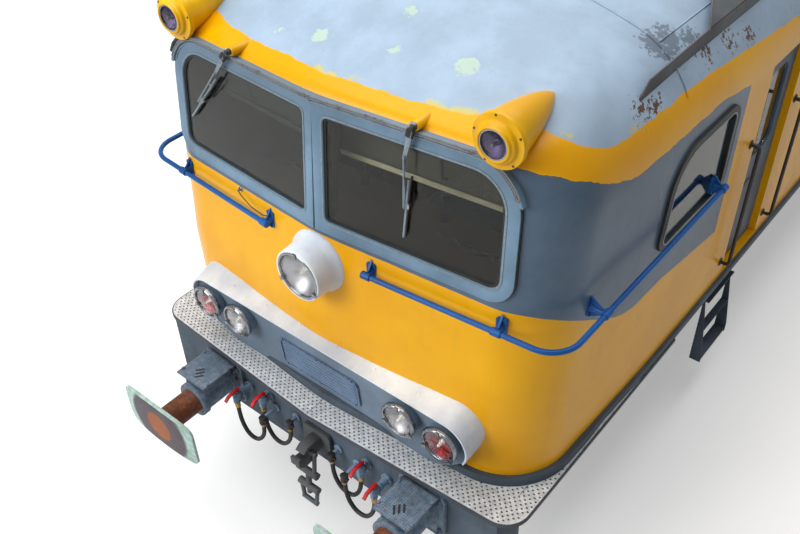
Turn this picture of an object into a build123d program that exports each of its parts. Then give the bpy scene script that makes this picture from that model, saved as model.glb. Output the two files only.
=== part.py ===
"""Electric locomotive, six axles in two bogies, a cab at each end.

Millimetres. +X points to cab 1, +Y to the left of somebody facing that way, +Z up.
The origin is on the floor under the middle of the locomotive, at the height of the wheel flanges' tips.
"""
from build123d import *
import math
import os

os.makedirs("parts", exist_ok=True)

# Overall sizes
LENGTH_OVER_BUFFERS = 18952
BODY_WIDTH = 2970
FLANGE_DEPTH = 30
SEAT_GAP = 0.3            # running gap where one body rests on another
PIN_GAP = 0.8             # radial gap of a journal or pin in its eye

# Wheelsets and bogies
WHEEL_DIAMETER = 1250
BACK_TO_BACK = 1360
TYRE_WIDTH = 135
AXLE_SPACING = 2422.5
PIVOT_TO_BUFFER_FACE = 4828.5
AXLE_RADIUS = 95
JOURNAL_RADIUS = 80
JOURNAL_END_Y = 1110
SIDE_PLATE_Y = 980
SIDE_PLATE_THICKNESS = 80
BOGIE_HALF_LENGTH = 3250
BOGIE_TOP_Z = 1060
TRANSOM_WIDTH = 180
BOLSTER_BOTTOM_Z = 1018
PIVOT_RADIUS = 80

# Underframe and walkway
SILL_BOTTOM_Z = 1080
SILL_INNER_Y = 1000
SILL_SET_IN = 85          # sill's outer face, in from the body side
HEADSTOCK_DEPTH = 250
HEADSTOCK_BOTTOM_Z = 830
DRAFT_BOX_HALF_WIDTH = 260
DRAFT_BOX_BOTTOM_Z = 900
END_BEAM_WIDTH = 140
INNER_BEAM_WIDTH = 120
BOGIE_END_CLEARANCE = 92.5
WALKWAY_TOP_Z = 1340
WALKWAY_THICKNESS = 30
WALKWAY_OVERHANG = 99     # ahead of the headstock on the centre line
WALKWAY_VEE = 0.060
WALKWAY_PROUD = 30        # beyond the body side
WALKWAY_CORNER = 170
WALKWAY_LENGTH = 1855     # back from the foot of the nose
FLOOR_TOP_Z = 1400
PLINTH_PROUD = 22
STEP_WIDTH = 460
STEP_DEPTH = 150
STEP_LEVELS = (470, 760, 1050)
STEP_PLATE = 10

# Body shell
WALL = 50
ROOF_SHEET = 40
CAB_LENGTH = 3395         # foot of the nose on the centre line to the machine room
NOSE_SET_BACK = 105       # foot of the nose behind the headstock's face
NOSE_VEE = 0.085          # how far the front falls back for each millimetre sideways
FOOT_CORNER = 430         # nose's corner radius at its foot
RAKE_START_Z = 2030
NOSE_RAKE = 0.090
TAPER_LENGTH = 1445
SIDE_TAPER = 0.030
EAVE_Z = 3130
EAVE_RADIUS = 550
EAVE_TURN = 72            # degrees of the eave arc before the flat crown arc takes over
BROW_ROUNDING = 130
BROW_STEPS = 4
FRONT_CROWN_RADIUS = 2550
FRONT_CROWN_LENGTH = 1419 # foot of the nose to the start of the crown's fall

# Windscreens, in the raked plane of each front half
SCREEN_INNER_Y = 75
SCREEN_SIDE_MARGIN = 327  # in from the body side
SCREEN_BOTTOM_Z = 2752
SCREEN_TOP_Z = 3372
SCREEN_CORNERS = (35, 70, 190, 35)
FRAME_WIDTH = 80
FRAME_PROUD = 14
FRAME_DEPTH = 70          # reaches back to the shell at the body's corner
FRAME_POST_GAP = 4        # half the gap between the two frames
FRAME_POST_CORNER = 10
DRIP_HEIGHT = 22
DRIP_PROUD = 26
GLASS = 8
GLASS_LAP = 12

# Cab side window and door
SIDE_WINDOW_SET_BACK = 1275
SIDE_WINDOW_LENGTH = 790
SIDE_WINDOW_BOTTOM_Z = 2465
SIDE_WINDOW_TOP_Z = 3035
DOOR_SET_FORWARD = 200    # doorway's rear edge ahead of the machine room
DOOR_WIDTH = 600
DOOR_BOTTOM_Z = 1440
DOOR_TOP_Z = 3060
DOOR_LAP = 20
DOOR_LEAF = 40
HINGE_LEVELS = (1620, 2250, 2880)
HINGE_HALF = 45           # half the height of the body's knuckle
HINGE_RADIUS = 15
HINGE_PIN = 8
DOOR_WINDOW_WIDTH = 380
DOOR_WINDOW_HEIGHT = 620
DOOR_WINDOW_MID_Z = 2600

# Machine room side
BAY_COUNT = 6
BAY_MARGIN = 370
PIER_WIDTH = 560          # wall left between two louvres
LOUVRE_HEIGHT = 560
LOUVRE_MID_Z = 2770
LOUVRE_SLATS = 9
LOUVRE_FLANGE = 30
SIDE_PANE = 400

# Lamps
HOOD_REACH = 105          # ahead of the foot of the nose
HOOD_SIDE_MARGIN = 290
HOOD_FRONT_TOP_Z = 1830
HOOD_REAR_TOP_Z = 1935
HOOD_CORNER = 270
HOOD_LIP = 22
PANEL_REACH = 33
PANEL_RAKE = 0.09
PANEL_THICKNESS = 20
LOWER_LAMP_Z = 1670
LOWER_LAMP_DIAMETER = 240
LOWER_LAMP_MARGINS = (219, 514)   # outer and inner lamp, in from the hood's end
CENTRE_LAMP_REACH = 123
CENTRE_LAMP_Z = 2440
CENTRE_LAMP_DIAMETER = 330
MARKER_SIDE_MARGIN = 393
MARKER_Z = 3581
MARKER_SET_BACK = 135
MARKER_TAIL_LENGTH = 450
MARKER_DIAMETER = 280

# Handrail round the nose
RAIL_Z = 2550
RAIL_DIAMETER = 32
RAIL_STAND_OFF = 60
RAIL_INNER_Y = 381
RAIL_LENGTH = 1955
RAIL_CORNER = 180

# Buffers and coupling
BUFFER_LENGTH = 626
BUFFER_Y = 875
BUFFER_Z = 1085
BUFFER_HOUSING_DIAMETER = 230
BUFFER_HOUSING_LENGTH = 330
BUFFER_PLUNGER_DIAMETER = 180
BUFFER_PLATE_WIDTH = 680
BUFFER_PLATE_HEIGHT = 350
BUFFER_PLATE_THICKNESS = 36
BUFFER_DOME_RADIUS = 1500
BUFFER_FLAT_RADIUS = 110  # flat middle of the domed plate
BUFFER_FLANGE = 350
FLANGE_THICKNESS = 25
TREAD_LENGTH = 290
TREAD_WIDTH = 270
HOOK_Z = 1035
HOSE_DIAMETER = 30

# Pantographs
PANTO_SET_BACK = 750      # behind the cab's rear
PANTO_PIVOT_HEIGHT = 222  # above the roof's crown
PANTO_PIVOT_X = 250       # each lower arm's pivot from the middle
LOWER_ARM = 1300
UPPER_ARM = 1550
FOLDED_ANGLE = 5
BASE_HALF_LENGTH = 450
BASE_HALF_WIDTH = 530
BASE_BEAM = 60
SHAFT_RADIUS = 30
KNEE_RADIUS = 18
EYE_WALL = 12
EYE_WIDTH = 30
LOWER_TUBE_Y = 490
UPPER_TUBE_KNEE_Y = 440
UPPER_TUBE_HEAD_Y = (385, 335)    # arm a, arm b
LOWER_TUBE_RADIUS = 22
UPPER_TUBE_RADIUS = 15
BRACE_RADIUS = 9
OPEN_PIVOT_GAP = 6
HEAD_HALF_WIDTH = 975

# Roof gear and machinery
HOUSING_HALF_LENGTH = 1500
HOUSING_HALF_WIDTH = 700
HOUSING_VENT_PITCH = 500
SWITCH_GAP = 750          # between the housing and the roof switch
SWITCH_LENGTH = 700
MACHINERY_SET_IN = 750
SCREEN_SHEET = 8
SCREEN_FOOT_SET_IN = 147
SCREEN_BEND_Z = 3580
UNDERFLOOR_CLEARANCE = 317.5

# Cab inside
DESK_SIDE_MARGIN = 335
SEAT_SET_BACK = 1745
SEAT_PAN_Z = 1850
SEAT_Y = 620

# Wipers
WIPER_OFF_MIDDLE = 26.5
WIPER_Z = 3505

# Values worked out from the sizes above
HALF_WIDTH = BODY_WIDTH / 2
WHEEL_RADIUS = WHEEL_DIAMETER / 2
AXLE_Z = WHEEL_RADIUS + FLANGE_DEPTH
BUFFER_FACE_X = LENGTH_OVER_BUFFERS / 2
HEADSTOCK_X = BUFFER_FACE_X - BUFFER_LENGTH
NOSE_X = HEADSTOCK_X - NOSE_SET_BACK
CAB_REAR_X = NOSE_X - CAB_LENGTH
TAPER_START_X = NOSE_X - TAPER_LENGTH
BOGIE_X = BUFFER_FACE_X - PIVOT_TO_BUFFER_FACE
BOGIE_OUTER_X = BOGIE_X + BOGIE_HALF_LENGTH
BOGIE_INNER_X = BOGIE_X - BOGIE_HALF_LENGTH
TRANSOM_X = AXLE_SPACING / 2
SILL_OUTER_Y = HALF_WIDTH - SILL_SET_IN
WALKWAY_NOSE_X = HEADSTOCK_X + WALKWAY_OVERHANG
WALKWAY_HALF_WIDTH = HALF_WIDTH + WALKWAY_PROUD
WALKWAY_END_X = NOSE_X - WALKWAY_LENGTH
SCREEN_OUTER_Y = HALF_WIDTH - SCREEN_SIDE_MARGIN
SIDE_WINDOW_FRONT_X = NOSE_X - SIDE_WINDOW_SET_BACK
SIDE_WINDOW_REAR_X = SIDE_WINDOW_FRONT_X - SIDE_WINDOW_LENGTH
DOOR_REAR_X = CAB_REAR_X + DOOR_SET_FORWARD
DOOR_FRONT_X = DOOR_REAR_X + DOOR_WIDTH
BAY_PITCH = 2 * (CAB_REAR_X - BAY_MARGIN) / BAY_COUNT
LOUVRE_WIDTH = BAY_PITCH - PIER_WIDTH
HOOD_FRONT_X = NOSE_X + HOOD_REACH
HOOD_HALF_WIDTH = HALF_WIDTH - HOOD_SIDE_MARGIN
PANEL_FOOT_X = NOSE_X + PANEL_REACH
LOWER_LAMP_X = HOOD_FRONT_X
CENTRE_LAMP_X = NOSE_X + CENTRE_LAMP_REACH
MARKER_X = NOSE_X - MARKER_SET_BACK
MARKER_Y = HALF_WIDTH - MARKER_SIDE_MARGIN
MARKER_TAIL_X = MARKER_X - MARKER_TAIL_LENGTH
RAIL_END_X = NOSE_X - RAIL_LENGTH
WIPER_Y = (SCREEN_INNER_Y + SCREEN_OUTER_Y) / 2 + WIPER_OFF_MIDDLE
EAVE_CENTRE_Y = HALF_WIDTH - EAVE_RADIUS
EAVE_END_Y = EAVE_CENTRE_Y + EAVE_RADIUS * math.cos(math.radians(EAVE_TURN))
EAVE_END_Z = EAVE_Z + EAVE_RADIUS * math.sin(math.radians(EAVE_TURN))
CROWN_RADIUS = EAVE_END_Y / math.cos(math.radians(EAVE_TURN))
CROWN_CENTRE_Z = EAVE_END_Z - CROWN_RADIUS * math.sin(math.radians(EAVE_TURN))
CROWN_Z = CROWN_CENTRE_Z + CROWN_RADIUS
FRONT_ARC_X = NOSE_X - FRONT_CROWN_LENGTH
PANTO_X = CAB_REAR_X - PANTO_SET_BACK
PANTO_PIVOT_Z = CROWN_Z + PANTO_PIVOT_HEIGHT
HEADSTOCK_REAR_X = HEADSTOCK_X - HEADSTOCK_DEPTH
WALKWAY_BOTTOM_Z = WALKWAY_TOP_Z - WALKWAY_THICKNESS
FOLDED_RISE = LOWER_ARM * math.sin(math.radians(FOLDED_ANGLE))
KNEE_X = PANTO_PIVOT_X + LOWER_ARM * math.cos(math.radians(FOLDED_ANGLE))
KNEE_Z = PANTO_PIVOT_Z + FOLDED_RISE
HEAD_PIVOT_Z = KNEE_Z + math.sqrt(UPPER_ARM ** 2 - KNEE_X ** 2)


# Small helpers

def block(x0, x1, y0, y1, z0, z1):
    """A box between two corners."""
    return Pos((x0 + x1) / 2, (y0 + y1) / 2, (z0 + z1) / 2) * Box(x1 - x0, y1 - y0, z1 - z0)


def bar(start, end, radius):
    """A round bar from one point to another."""
    path = Vector(*end) - Vector(*start)
    seat = Plane(origin=start, z_dir=path)
    return extrude(seat * Circle(radius), amount=path.length)


def front_prism(outline, x0, x1):
    """An outline drawn in Y and Z, from x0 to x1."""
    return extrude(Plane.YZ.offset(x0) * outline, amount=x1 - x0)


def side_prism(outline, y0, y1):
    """An outline drawn in X and Z, from y0 to y1."""
    return extrude(Plane.XZ.offset(-y0) * outline, amount=y0 - y1)


def plan_prism(outline, z0, z1):
    """An outline drawn in X and Y, from z0 to z1."""
    return extrude(Plane.XY.offset(z0) * outline, amount=z1 - z0)


def across(shape):
    """The same piece on the other side."""
    return mirror(shape, Plane.XZ)


def other_end(shape):
    """The same piece at the other end."""
    return Rot(0, 0, 180) * shape


def save(name, *shapes):
    """Write one node, with each separate solid kept."""
    solids = []
    for shape in shapes:
        solids.extend(shape.solids())
    export_step(Compound(children=solids), f"parts/{name}.step")


# Body surface

def half_width_at(z, inset=0):
    """Half the body's width at a level, from the side, the eave arc and the crown arc."""
    if z <= EAVE_Z:
        return HALF_WIDTH - inset
    eave_radius = EAVE_RADIUS - inset
    turn_z = EAVE_Z + eave_radius * math.sin(math.radians(EAVE_TURN))
    if z <= turn_z:
        return EAVE_CENTRE_Y + math.sqrt(eave_radius ** 2 - (z - EAVE_Z) ** 2)
    return math.sqrt((CROWN_RADIUS - inset) ** 2 - (z - CROWN_CENTRE_Z) ** 2)


def brow_round():
    """Centre of the round brow on the centre line, and the angles where it meets the front and the crown.

    The centre lies BROW_ROUNDING inside both the raked front and the crown's arc."""
    slope = math.hypot(1, NOSE_RAKE)
    arc_z = CROWN_Z - FRONT_CROWN_RADIUS
    foot = NOSE_X + NOSE_RAKE * RAKE_START_Z - BROW_ROUNDING * slope
    a = NOSE_RAKE ** 2 + 1
    b = -2 * (NOSE_RAKE * (foot - FRONT_ARC_X) + arc_z)
    c = (foot - FRONT_ARC_X) ** 2 + arc_z ** 2 - (FRONT_CROWN_RADIUS - BROW_ROUNDING) ** 2
    centre_z = (-b + math.sqrt(b * b - 4 * a * c)) / (2 * a)
    centre_x = foot - NOSE_RAKE * centre_z
    return centre_x, centre_z, math.atan(NOSE_RAKE), math.atan2(centre_z - arc_z, centre_x - FRONT_ARC_X)


def front_at(z, inset=0):
    """How far forward the nose reaches on the centre line at a level."""
    if z <= RAKE_START_Z:
        return NOSE_X - inset
    centre_x, centre_z, low_turn, high_turn = brow_round()
    radius = BROW_ROUNDING - inset
    if z <= centre_z + radius * math.sin(low_turn):
        return NOSE_X - NOSE_RAKE * (z - RAKE_START_Z) - inset
    if z < centre_z + radius * math.sin(high_turn):
        return centre_x + math.sqrt(radius ** 2 - (z - centre_z) ** 2)
    radius = FRONT_CROWN_RADIUS - inset
    drop = CROWN_Z - inset - z
    return FRONT_ARC_X + math.sqrt(max(2 * radius * drop - drop ** 2, 0))


def nose_plan(z, corner, inset=0, rear_x=CAB_REAR_X):
    """Plan of the body at one level: straight side, slight taper, round corner, shallow vee."""
    half = half_width_at(z, inset)
    front = front_at(z, inset)
    corner_x = (front - NOSE_VEE * (half + SIDE_TAPER * TAPER_START_X)) / (1 - NOSE_VEE * SIDE_TAPER)
    corner_y = half - SIDE_TAPER * (corner_x - TAPER_START_X)
    left = [(rear_x, half), (TAPER_START_X, half), (corner_x, corner_y)]
    right = [(x, -y) for x, y in reversed(left)]
    plan = make_face(Polyline(*left, (front, 0), *right, close=True))
    corners = [v for v in plan.vertices() if abs(v.X - corner_x) < 1]
    return Plane.XY.offset(z) * fillet(corners, corner - inset)


def nose_levels():
    """Level of each section of the nose and its corner radius, close together round the brow."""
    _, centre_z, low_turn, high_turn = brow_round()
    levels = [(FLOOR_TOP_Z, FOOT_CORNER), (RAKE_START_Z, 410), (EAVE_Z, 370), (EAVE_Z + 160, 370)]
    for step in range(BROW_STEPS + 1):
        share = step / BROW_STEPS
        turn = low_turn + share * (high_turn - low_turn)
        levels.append((centre_z + BROW_ROUNDING * math.sin(turn), 390 + 60 * share))
    # the crown: distance below its top, corner radius
    return levels + [(CROWN_Z - drop, corner) for drop, corner in ((188, 470), (98, 430), (38, 300), (11, 200))]


def nose_solid(inset=0, rear_x=CAB_REAR_X):
    """The nose and cab as one closed form, or its hollow when inset."""
    sections = []
    for z, corner in nose_levels():
        level = z
        if inset and z == FLOOR_TOP_Z:
            level = z - inset
        if inset and z > EAVE_Z:
            level = EAVE_Z + (z - EAVE_Z) * (CROWN_Z - inset - EAVE_Z) / (CROWN_Z - EAVE_Z)
        sections.append(nose_plan(level, corner, inset, rear_x))
    return loft(sections, ruled=True)


def roof_profile(inset, bottom_z=EAVE_Z):
    """Cross-section of the roof: eave arc, crown arc, eave arc, closed along its foot."""
    points = []
    for turn in (0, EAVE_TURN / 2, EAVE_TURN):
        angle = math.radians(turn)
        reach = EAVE_RADIUS - inset
        points.append((EAVE_CENTRE_Y + reach * math.cos(angle), EAVE_Z + reach * math.sin(angle)))
    mirrored = [(-y, z) for y, z in points]
    top = (0, CROWN_Z - inset)
    edges = [
        ThreePointArc(*points),
        ThreePointArc(points[2], top, mirrored[2]),
        ThreePointArc(*reversed(mirrored)),
        Polyline(mirrored[0], (mirrored[0][0], bottom_z), (points[0][0], bottom_z), points[0])
        if bottom_z < EAVE_Z else Line(mirrored[0], points[0]),
    ]
    return make_face(edges)


def screen_plane():
    """The raked plane of the left front half, its origin on the centre line at the screen's foot."""
    foot_x = NOSE_X - NOSE_RAKE * (SCREEN_BOTTOM_Z - RAKE_START_Z)
    return Plane(origin=(foot_x, 0, SCREEN_BOTTOM_Z), x_dir=(-NOSE_VEE, 1, 0), z_dir=(1, NOSE_VEE, NOSE_RAKE))


def screen_outline(grow=0):
    """Outline of one windscreen's clear glass, grown all round."""
    height = SCREEN_TOP_Z - SCREEN_BOTTOM_Z
    corners = [
        (SCREEN_INNER_Y, 0),
        (SCREEN_OUTER_Y, 0),
        (SCREEN_OUTER_Y - 15, height),
        (SCREEN_INNER_Y, height),
    ]
    outline = rounded(corners, SCREEN_CORNERS)
    return offset(outline, grow) if grow else outline


def frame_outline():
    """Outer edge of one windscreen's frame: square beside the centre post, round at the body's corner."""
    low = -FRAME_WIDTH
    high = SCREEN_TOP_Z - SCREEN_BOTTOM_Z + FRAME_WIDTH
    outer = SCREEN_OUTER_Y + FRAME_WIDTH
    corners = [(FRAME_POST_GAP, low), (outer, low), (outer - 15, high), (FRAME_POST_GAP, high)]
    radii = (FRAME_POST_CORNER, SCREEN_CORNERS[1] + FRAME_WIDTH, SCREEN_CORNERS[2] + FRAME_WIDTH, FRAME_POST_CORNER)
    return rounded(corners, radii)


def drip_outline():
    """Drip strip over one windscreen: a band above the frame that turns down with its outer corner."""
    band = offset(frame_outline(), DRIP_HEIGHT) - frame_outline()
    height = SCREEN_TOP_Z - SCREEN_BOTTOM_Z + FRAME_WIDTH
    reach = SCREEN_OUTER_Y + FRAME_WIDTH + DRIP_HEIGHT
    foot = height - SCREEN_CORNERS[2]
    keep = Pos((FRAME_POST_GAP + reach) / 2, (foot + height + DRIP_HEIGHT) / 2)
    return band & (keep * Rectangle(reach - FRAME_POST_GAP, height + DRIP_HEIGHT - foot))


def rounded(corners, radii):
    """A polygon with each corner rounded by its own radius."""
    outline = make_face(Polyline(*corners, close=True))
    for (u, v), radius in zip(corners, radii):
        here = [p for p in outline.vertices() if abs(p.X - u) < 1 and abs(p.Y - v) < 1]
        outline = fillet(here, radius)
    return outline


def side_window_outline(grow=0):
    """Cab side window in X and Z: upright rear edge, front edge swept back, round top corner."""
    corners = [
        (SIDE_WINDOW_REAR_X, SIDE_WINDOW_BOTTOM_Z),
        (SIDE_WINDOW_FRONT_X, SIDE_WINDOW_BOTTOM_Z),
        (SIDE_WINDOW_FRONT_X - 60, SIDE_WINDOW_TOP_Z),
        (SIDE_WINDOW_REAR_X, SIDE_WINDOW_TOP_Z),
    ]
    outline = rounded(corners, (90, 70, 240, 90))
    return offset(outline, grow) if grow else outline


def on_screen(outline, low, high):
    """A windscreen piece between two distances from the shell's outer face."""
    plane = screen_plane().offset(low)
    return extrude(plane * outline, amount=high - low)


# Wheelsets

def wheelset():
    """One axle with two tyred wheels, turned about its own axis at the origin."""
    back = BACK_TO_BACK / 2
    face = back + TYRE_WIDTH
    rim_radius = WHEEL_RADIUS - 75
    outline = [
        (0, 0),
        (AXLE_RADIUS, 0),
        (AXLE_RADIUS, back - 40),
        (AXLE_RADIUS + 55, back - 40),
        (AXLE_RADIUS + 55, back + 20),
        (rim_radius - 30, back + 35),
        (rim_radius, back),
        (WHEEL_RADIUS + FLANGE_DEPTH - 6, back),
        (WHEEL_RADIUS + FLANGE_DEPTH, back + 9),
        (WHEEL_RADIUS + FLANGE_DEPTH - 8, back + 24),
        (WHEEL_RADIUS + 1, back + 36),
        (WHEEL_RADIUS - 3, face - 6),
        (WHEEL_RADIUS - 10, face),
        (rim_radius, face),
        (rim_radius - 30, back + 75),
        (AXLE_RADIUS + 60, back + 62),
        (AXLE_RADIUS + 55, face - 15),
        (JOURNAL_RADIUS, face - 15),
        (JOURNAL_RADIUS, JOURNAL_END_Y),
        (0, JOURNAL_END_Y),
    ]
    half = make_face(Polyline(*[(r, y) for r, y in outline], close=True))
    turned = revolve(half, axis=Axis.Y)
    return turned + across(turned)


def axle_positions(bogie):
    """X of the three axles of bogie 1 or 2, from the front."""
    middle = BOGIE_X if bogie == 1 else -BOGIE_X
    return [middle + AXLE_SPACING, middle, middle - AXLE_SPACING]


# Bogie, drawn about its own middle

def side_plate():
    """One side of the bogie frame: a deep plate with a horn gap over each axlebox."""
    half = BOGIE_HALF_LENGTH
    deep_z = 740
    gap_top_z = 915
    gap_half = 355
    lower = []
    for axle in (-AXLE_SPACING, 0, AXLE_SPACING):
        lower.append((axle - gap_half, deep_z))
        lower.append((axle - gap_half + 60, gap_top_z))
        lower.append((axle + gap_half - 60, gap_top_z))
        lower.append((axle + gap_half, deep_z))
    outline = [(-half, BOGIE_TOP_Z), (-half, 900), *lower, (half, 900), (half, BOGIE_TOP_Z)]
    plate = side_prism(make_face(Polyline(*outline, close=True)), SIDE_PLATE_Y, SIDE_PLATE_Y + SIDE_PLATE_THICKNESS)
    for hole_x in (-TRANSOM_X, TRANSOM_X):
        hole = Pos(hole_x, 850) * SlotOverall(520, 110)
        plate -= side_prism(hole, SIDE_PLATE_Y - 1, SIDE_PLATE_Y + SIDE_PLATE_THICKNESS + 1)
    return plate


def bogie_frame():
    """Both side plates, two transoms, two end beams and the side bearers under the body."""
    plate = side_plate()
    frame = plate + across(plate)
    for x in (-TRANSOM_X, TRANSOM_X):
        half = TRANSOM_WIDTH / 2
        frame += block(x - half, x + half, -SIDE_PLATE_Y - 1, SIDE_PLATE_Y + 1, 930, BOGIE_TOP_Z - 10)
        for side in (-1, 1):
            y = side * (SIDE_PLATE_Y + SIDE_PLATE_THICKNESS / 2)
            frame += bar((x, y, BOGIE_TOP_Z - 5), (x, y, SILL_BOTTOM_Z - SEAT_GAP), 36)
    frame += block(-TRANSOM_X, TRANSOM_X, -200, 200, BOLSTER_BOTTOM_Z, BOGIE_TOP_Z - 10)
    frame += bar((0, 0, BOLSTER_BOTTOM_Z), (0, 0, BOGIE_TOP_Z + 30), PIVOT_RADIUS + 45)
    frame -= bar((0, 0, BOLSTER_BOTTOM_Z - 1), (0, 0, BOGIE_TOP_Z + 31), PIVOT_RADIUS + PIN_GAP)
    for end in (-1, 1):
        outer = end * BOGIE_HALF_LENGTH
        inner = end * (BOGIE_HALF_LENGTH - 90)
        frame += block(min(outer, inner), max(outer, inner), -SIDE_PLATE_Y - 1, SIDE_PLATE_Y + 1, 905, BOGIE_TOP_Z - 10)
    return frame


def axlebox():
    """Axlebox at the origin of its axle on the left side, with its two wings and coil springs."""
    inner_y = 945
    outer_y = JOURNAL_END_Y + 45
    wing_z = AXLE_Z - 40
    spring_top_z = 915
    shape = bar((0, inner_y, AXLE_Z), (0, outer_y, AXLE_Z), 165)
    shape += block(-300, 300, SIDE_PLATE_Y, SIDE_PLATE_Y + SIDE_PLATE_THICKNESS, wing_z - 60, wing_z)
    shape += bar((0, outer_y - 1, AXLE_Z), (0, outer_y + 22, AXLE_Z), 110)
    shape -= bar((0, inner_y - 1, AXLE_Z), (0, JOURNAL_END_Y + 3, AXLE_Z), JOURNAL_RADIUS + PIN_GAP)
    spring_y = SIDE_PLATE_Y + SIDE_PLATE_THICKNESS / 2
    for x in (-230, 230):
        shape += bar((x, spring_y, wing_z - 1), (x, spring_y, spring_top_z), 38)
        for turn in range(4):
            z = wing_z + 35 + turn * 72
            shape += bar((x, spring_y, z), (x, spring_y, z + 30), 62)
    return shape


def brake_block(side_x):
    """One brake block with its hanger, on the left wheel, ahead of or behind the axle."""
    tread_y = BACK_TO_BACK / 2 + 40
    block_width = 82
    gap = 6
    reach = WHEEL_RADIUS + 275
    sector = make_face(Polyline((0, -190), (reach, -190), (reach, 190), (0, 190), close=True))
    shoe_ring = Circle(WHEEL_RADIUS + 62) - Circle(WHEEL_RADIUS + gap)
    shoe = side_prism(shoe_ring & sector, tread_y, tread_y + block_width)
    shoe = Pos(0, 0, AXLE_Z) * shoe
    hanger_x = WHEEL_RADIUS + 85
    hanger = block(hanger_x - 26, hanger_x + 14, tread_y + 25, tread_y + 57, AXLE_Z - 40, 985)
    pin = bar((hanger_x - 6, tread_y + 20, 965), (hanger_x - 6, SIDE_PLATE_Y, 965), 16)
    assembly = shoe + hanger + pin
    return assembly if side_x > 0 else mirror(assembly, Plane.YZ)


def motor(side_x):
    """Traction motor hung between its axle and the transom, with the gear case round the axle."""
    reach = 500 * side_x
    body = bar((reach, -520, AXLE_Z + 30), (reach, 520, AXLE_Z + 30), 325)
    nose_end = (TRANSOM_X - TRANSOM_WIDTH / 2) * side_x
    low, high = sorted((reach + 200 * side_x, nose_end))
    body += block(low, high, -260, 260, AXLE_Z + 60, 1000)
    tangent = Circle(360) + Pos(reach, 30) * Circle(250)
    case = side_prism(make_hull(tangent.edges()), 540, 640)
    case = Pos(0, 0, AXLE_Z) * case
    body += case
    body += bar((reach, 510, AXLE_Z + 30), (reach, 560, AXLE_Z + 30), 140)
    body -= bar((0, 500, AXLE_Z), (0, 700, AXLE_Z), AXLE_RADIUS + 8)
    return body


def bogie_gear():
    """Axleboxes with their springs, and brake blocks, all six wheels."""
    pieces = []
    for axle in (-AXLE_SPACING, 0, AXLE_SPACING):
        left_box = Pos(axle, 0, 0) * axlebox()
        pieces += [left_box, across(left_box)]
        for side_x in (-1, 1):
            shoe = Pos(axle, 0, 0) * brake_block(side_x)
            pieces += [shoe, across(shoe)]
    return pieces


def guard_iron():
    """Left rail guard at the bogie's outer end: a bracket on the end beam, cranked down ahead of the wheel."""
    y = BACK_TO_BACK / 2 + TYRE_WIDTH / 2
    face = BOGIE_HALF_LENGTH
    outline = [(face, 1030), (face + 22, 1030), (face + 22, 880), (face - 60, 560), (face - 110, 190), (face - 150, 190),
               (face - 128, 400), (face - 96, 600), (face, 905)]
    return side_prism(make_face(Polyline(*outline, close=True)), y - 50, y + 50)


def traction_motors():
    """Three motors, each reaching from its axle towards the nearest transom."""
    return [
        Pos(AXLE_SPACING, 0, 0) * motor(-1),
        motor(1),
        Pos(-AXLE_SPACING, 0, 0) * motor(1),
    ]


# Underframe

def floor_plate():
    """Floor of the whole body, its edge standing proud as a plinth under the shell."""
    floor_plan = nose_plan(FLOOR_TOP_Z, FOOT_CORNER, 0, 0)
    floor_plan = Plane.XY.offset(-FLOOR_TOP_Z) * floor_plan
    half_floor = plan_prism(offset(floor_plan, PLINTH_PROUD), WALKWAY_TOP_Z, FLOOR_TOP_Z)
    return half_floor + other_end(half_floor)


def underframe(plinth):
    """Floor, two sills, headstocks, draft boxes and cross members."""
    frame = plinth
    for side in (-1, 1):
        low, high = sorted((side * SILL_INNER_Y, side * SILL_OUTER_Y))
        frame += block(-HEADSTOCK_REAR_X, HEADSTOCK_REAR_X, low, high, SILL_BOTTOM_Z, WALKWAY_TOP_Z + 1)
    beam = block(
        HEADSTOCK_REAR_X - 1, HEADSTOCK_X, -SILL_OUTER_Y, SILL_OUTER_Y, HEADSTOCK_BOTTOM_Z, WALKWAY_BOTTOM_Z
    )
    outer_beam_x = BOGIE_OUTER_X + BOGIE_END_CLEARANCE
    beam += block(outer_beam_x + END_BEAM_WIDTH / 2, HEADSTOCK_REAR_X, -DRAFT_BOX_HALF_WIDTH, DRAFT_BOX_HALF_WIDTH,
                  DRAFT_BOX_BOTTOM_Z, WALKWAY_TOP_Z + 1)
    inner_beam_x = BOGIE_INNER_X - BOGIE_END_CLEARANCE
    for low, high in ((outer_beam_x, outer_beam_x + END_BEAM_WIDTH), (inner_beam_x - INNER_BEAM_WIDTH, inner_beam_x)):
        beam += block(low, high, -SILL_INNER_Y - 1, SILL_INNER_Y + 1, SILL_BOTTOM_Z, WALKWAY_TOP_Z + 1)
    beam += bar((BOGIE_X, 0, BOLSTER_BOTTOM_Z + 6), (BOGIE_X, 0, WALKWAY_TOP_Z + 1), PIVOT_RADIUS)
    beam += bar((BOGIE_X, 0, WALKWAY_TOP_Z - 60), (BOGIE_X, 0, WALKWAY_TOP_Z + 1), 240)
    frame += beam
    frame += other_end(beam)
    return frame


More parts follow.
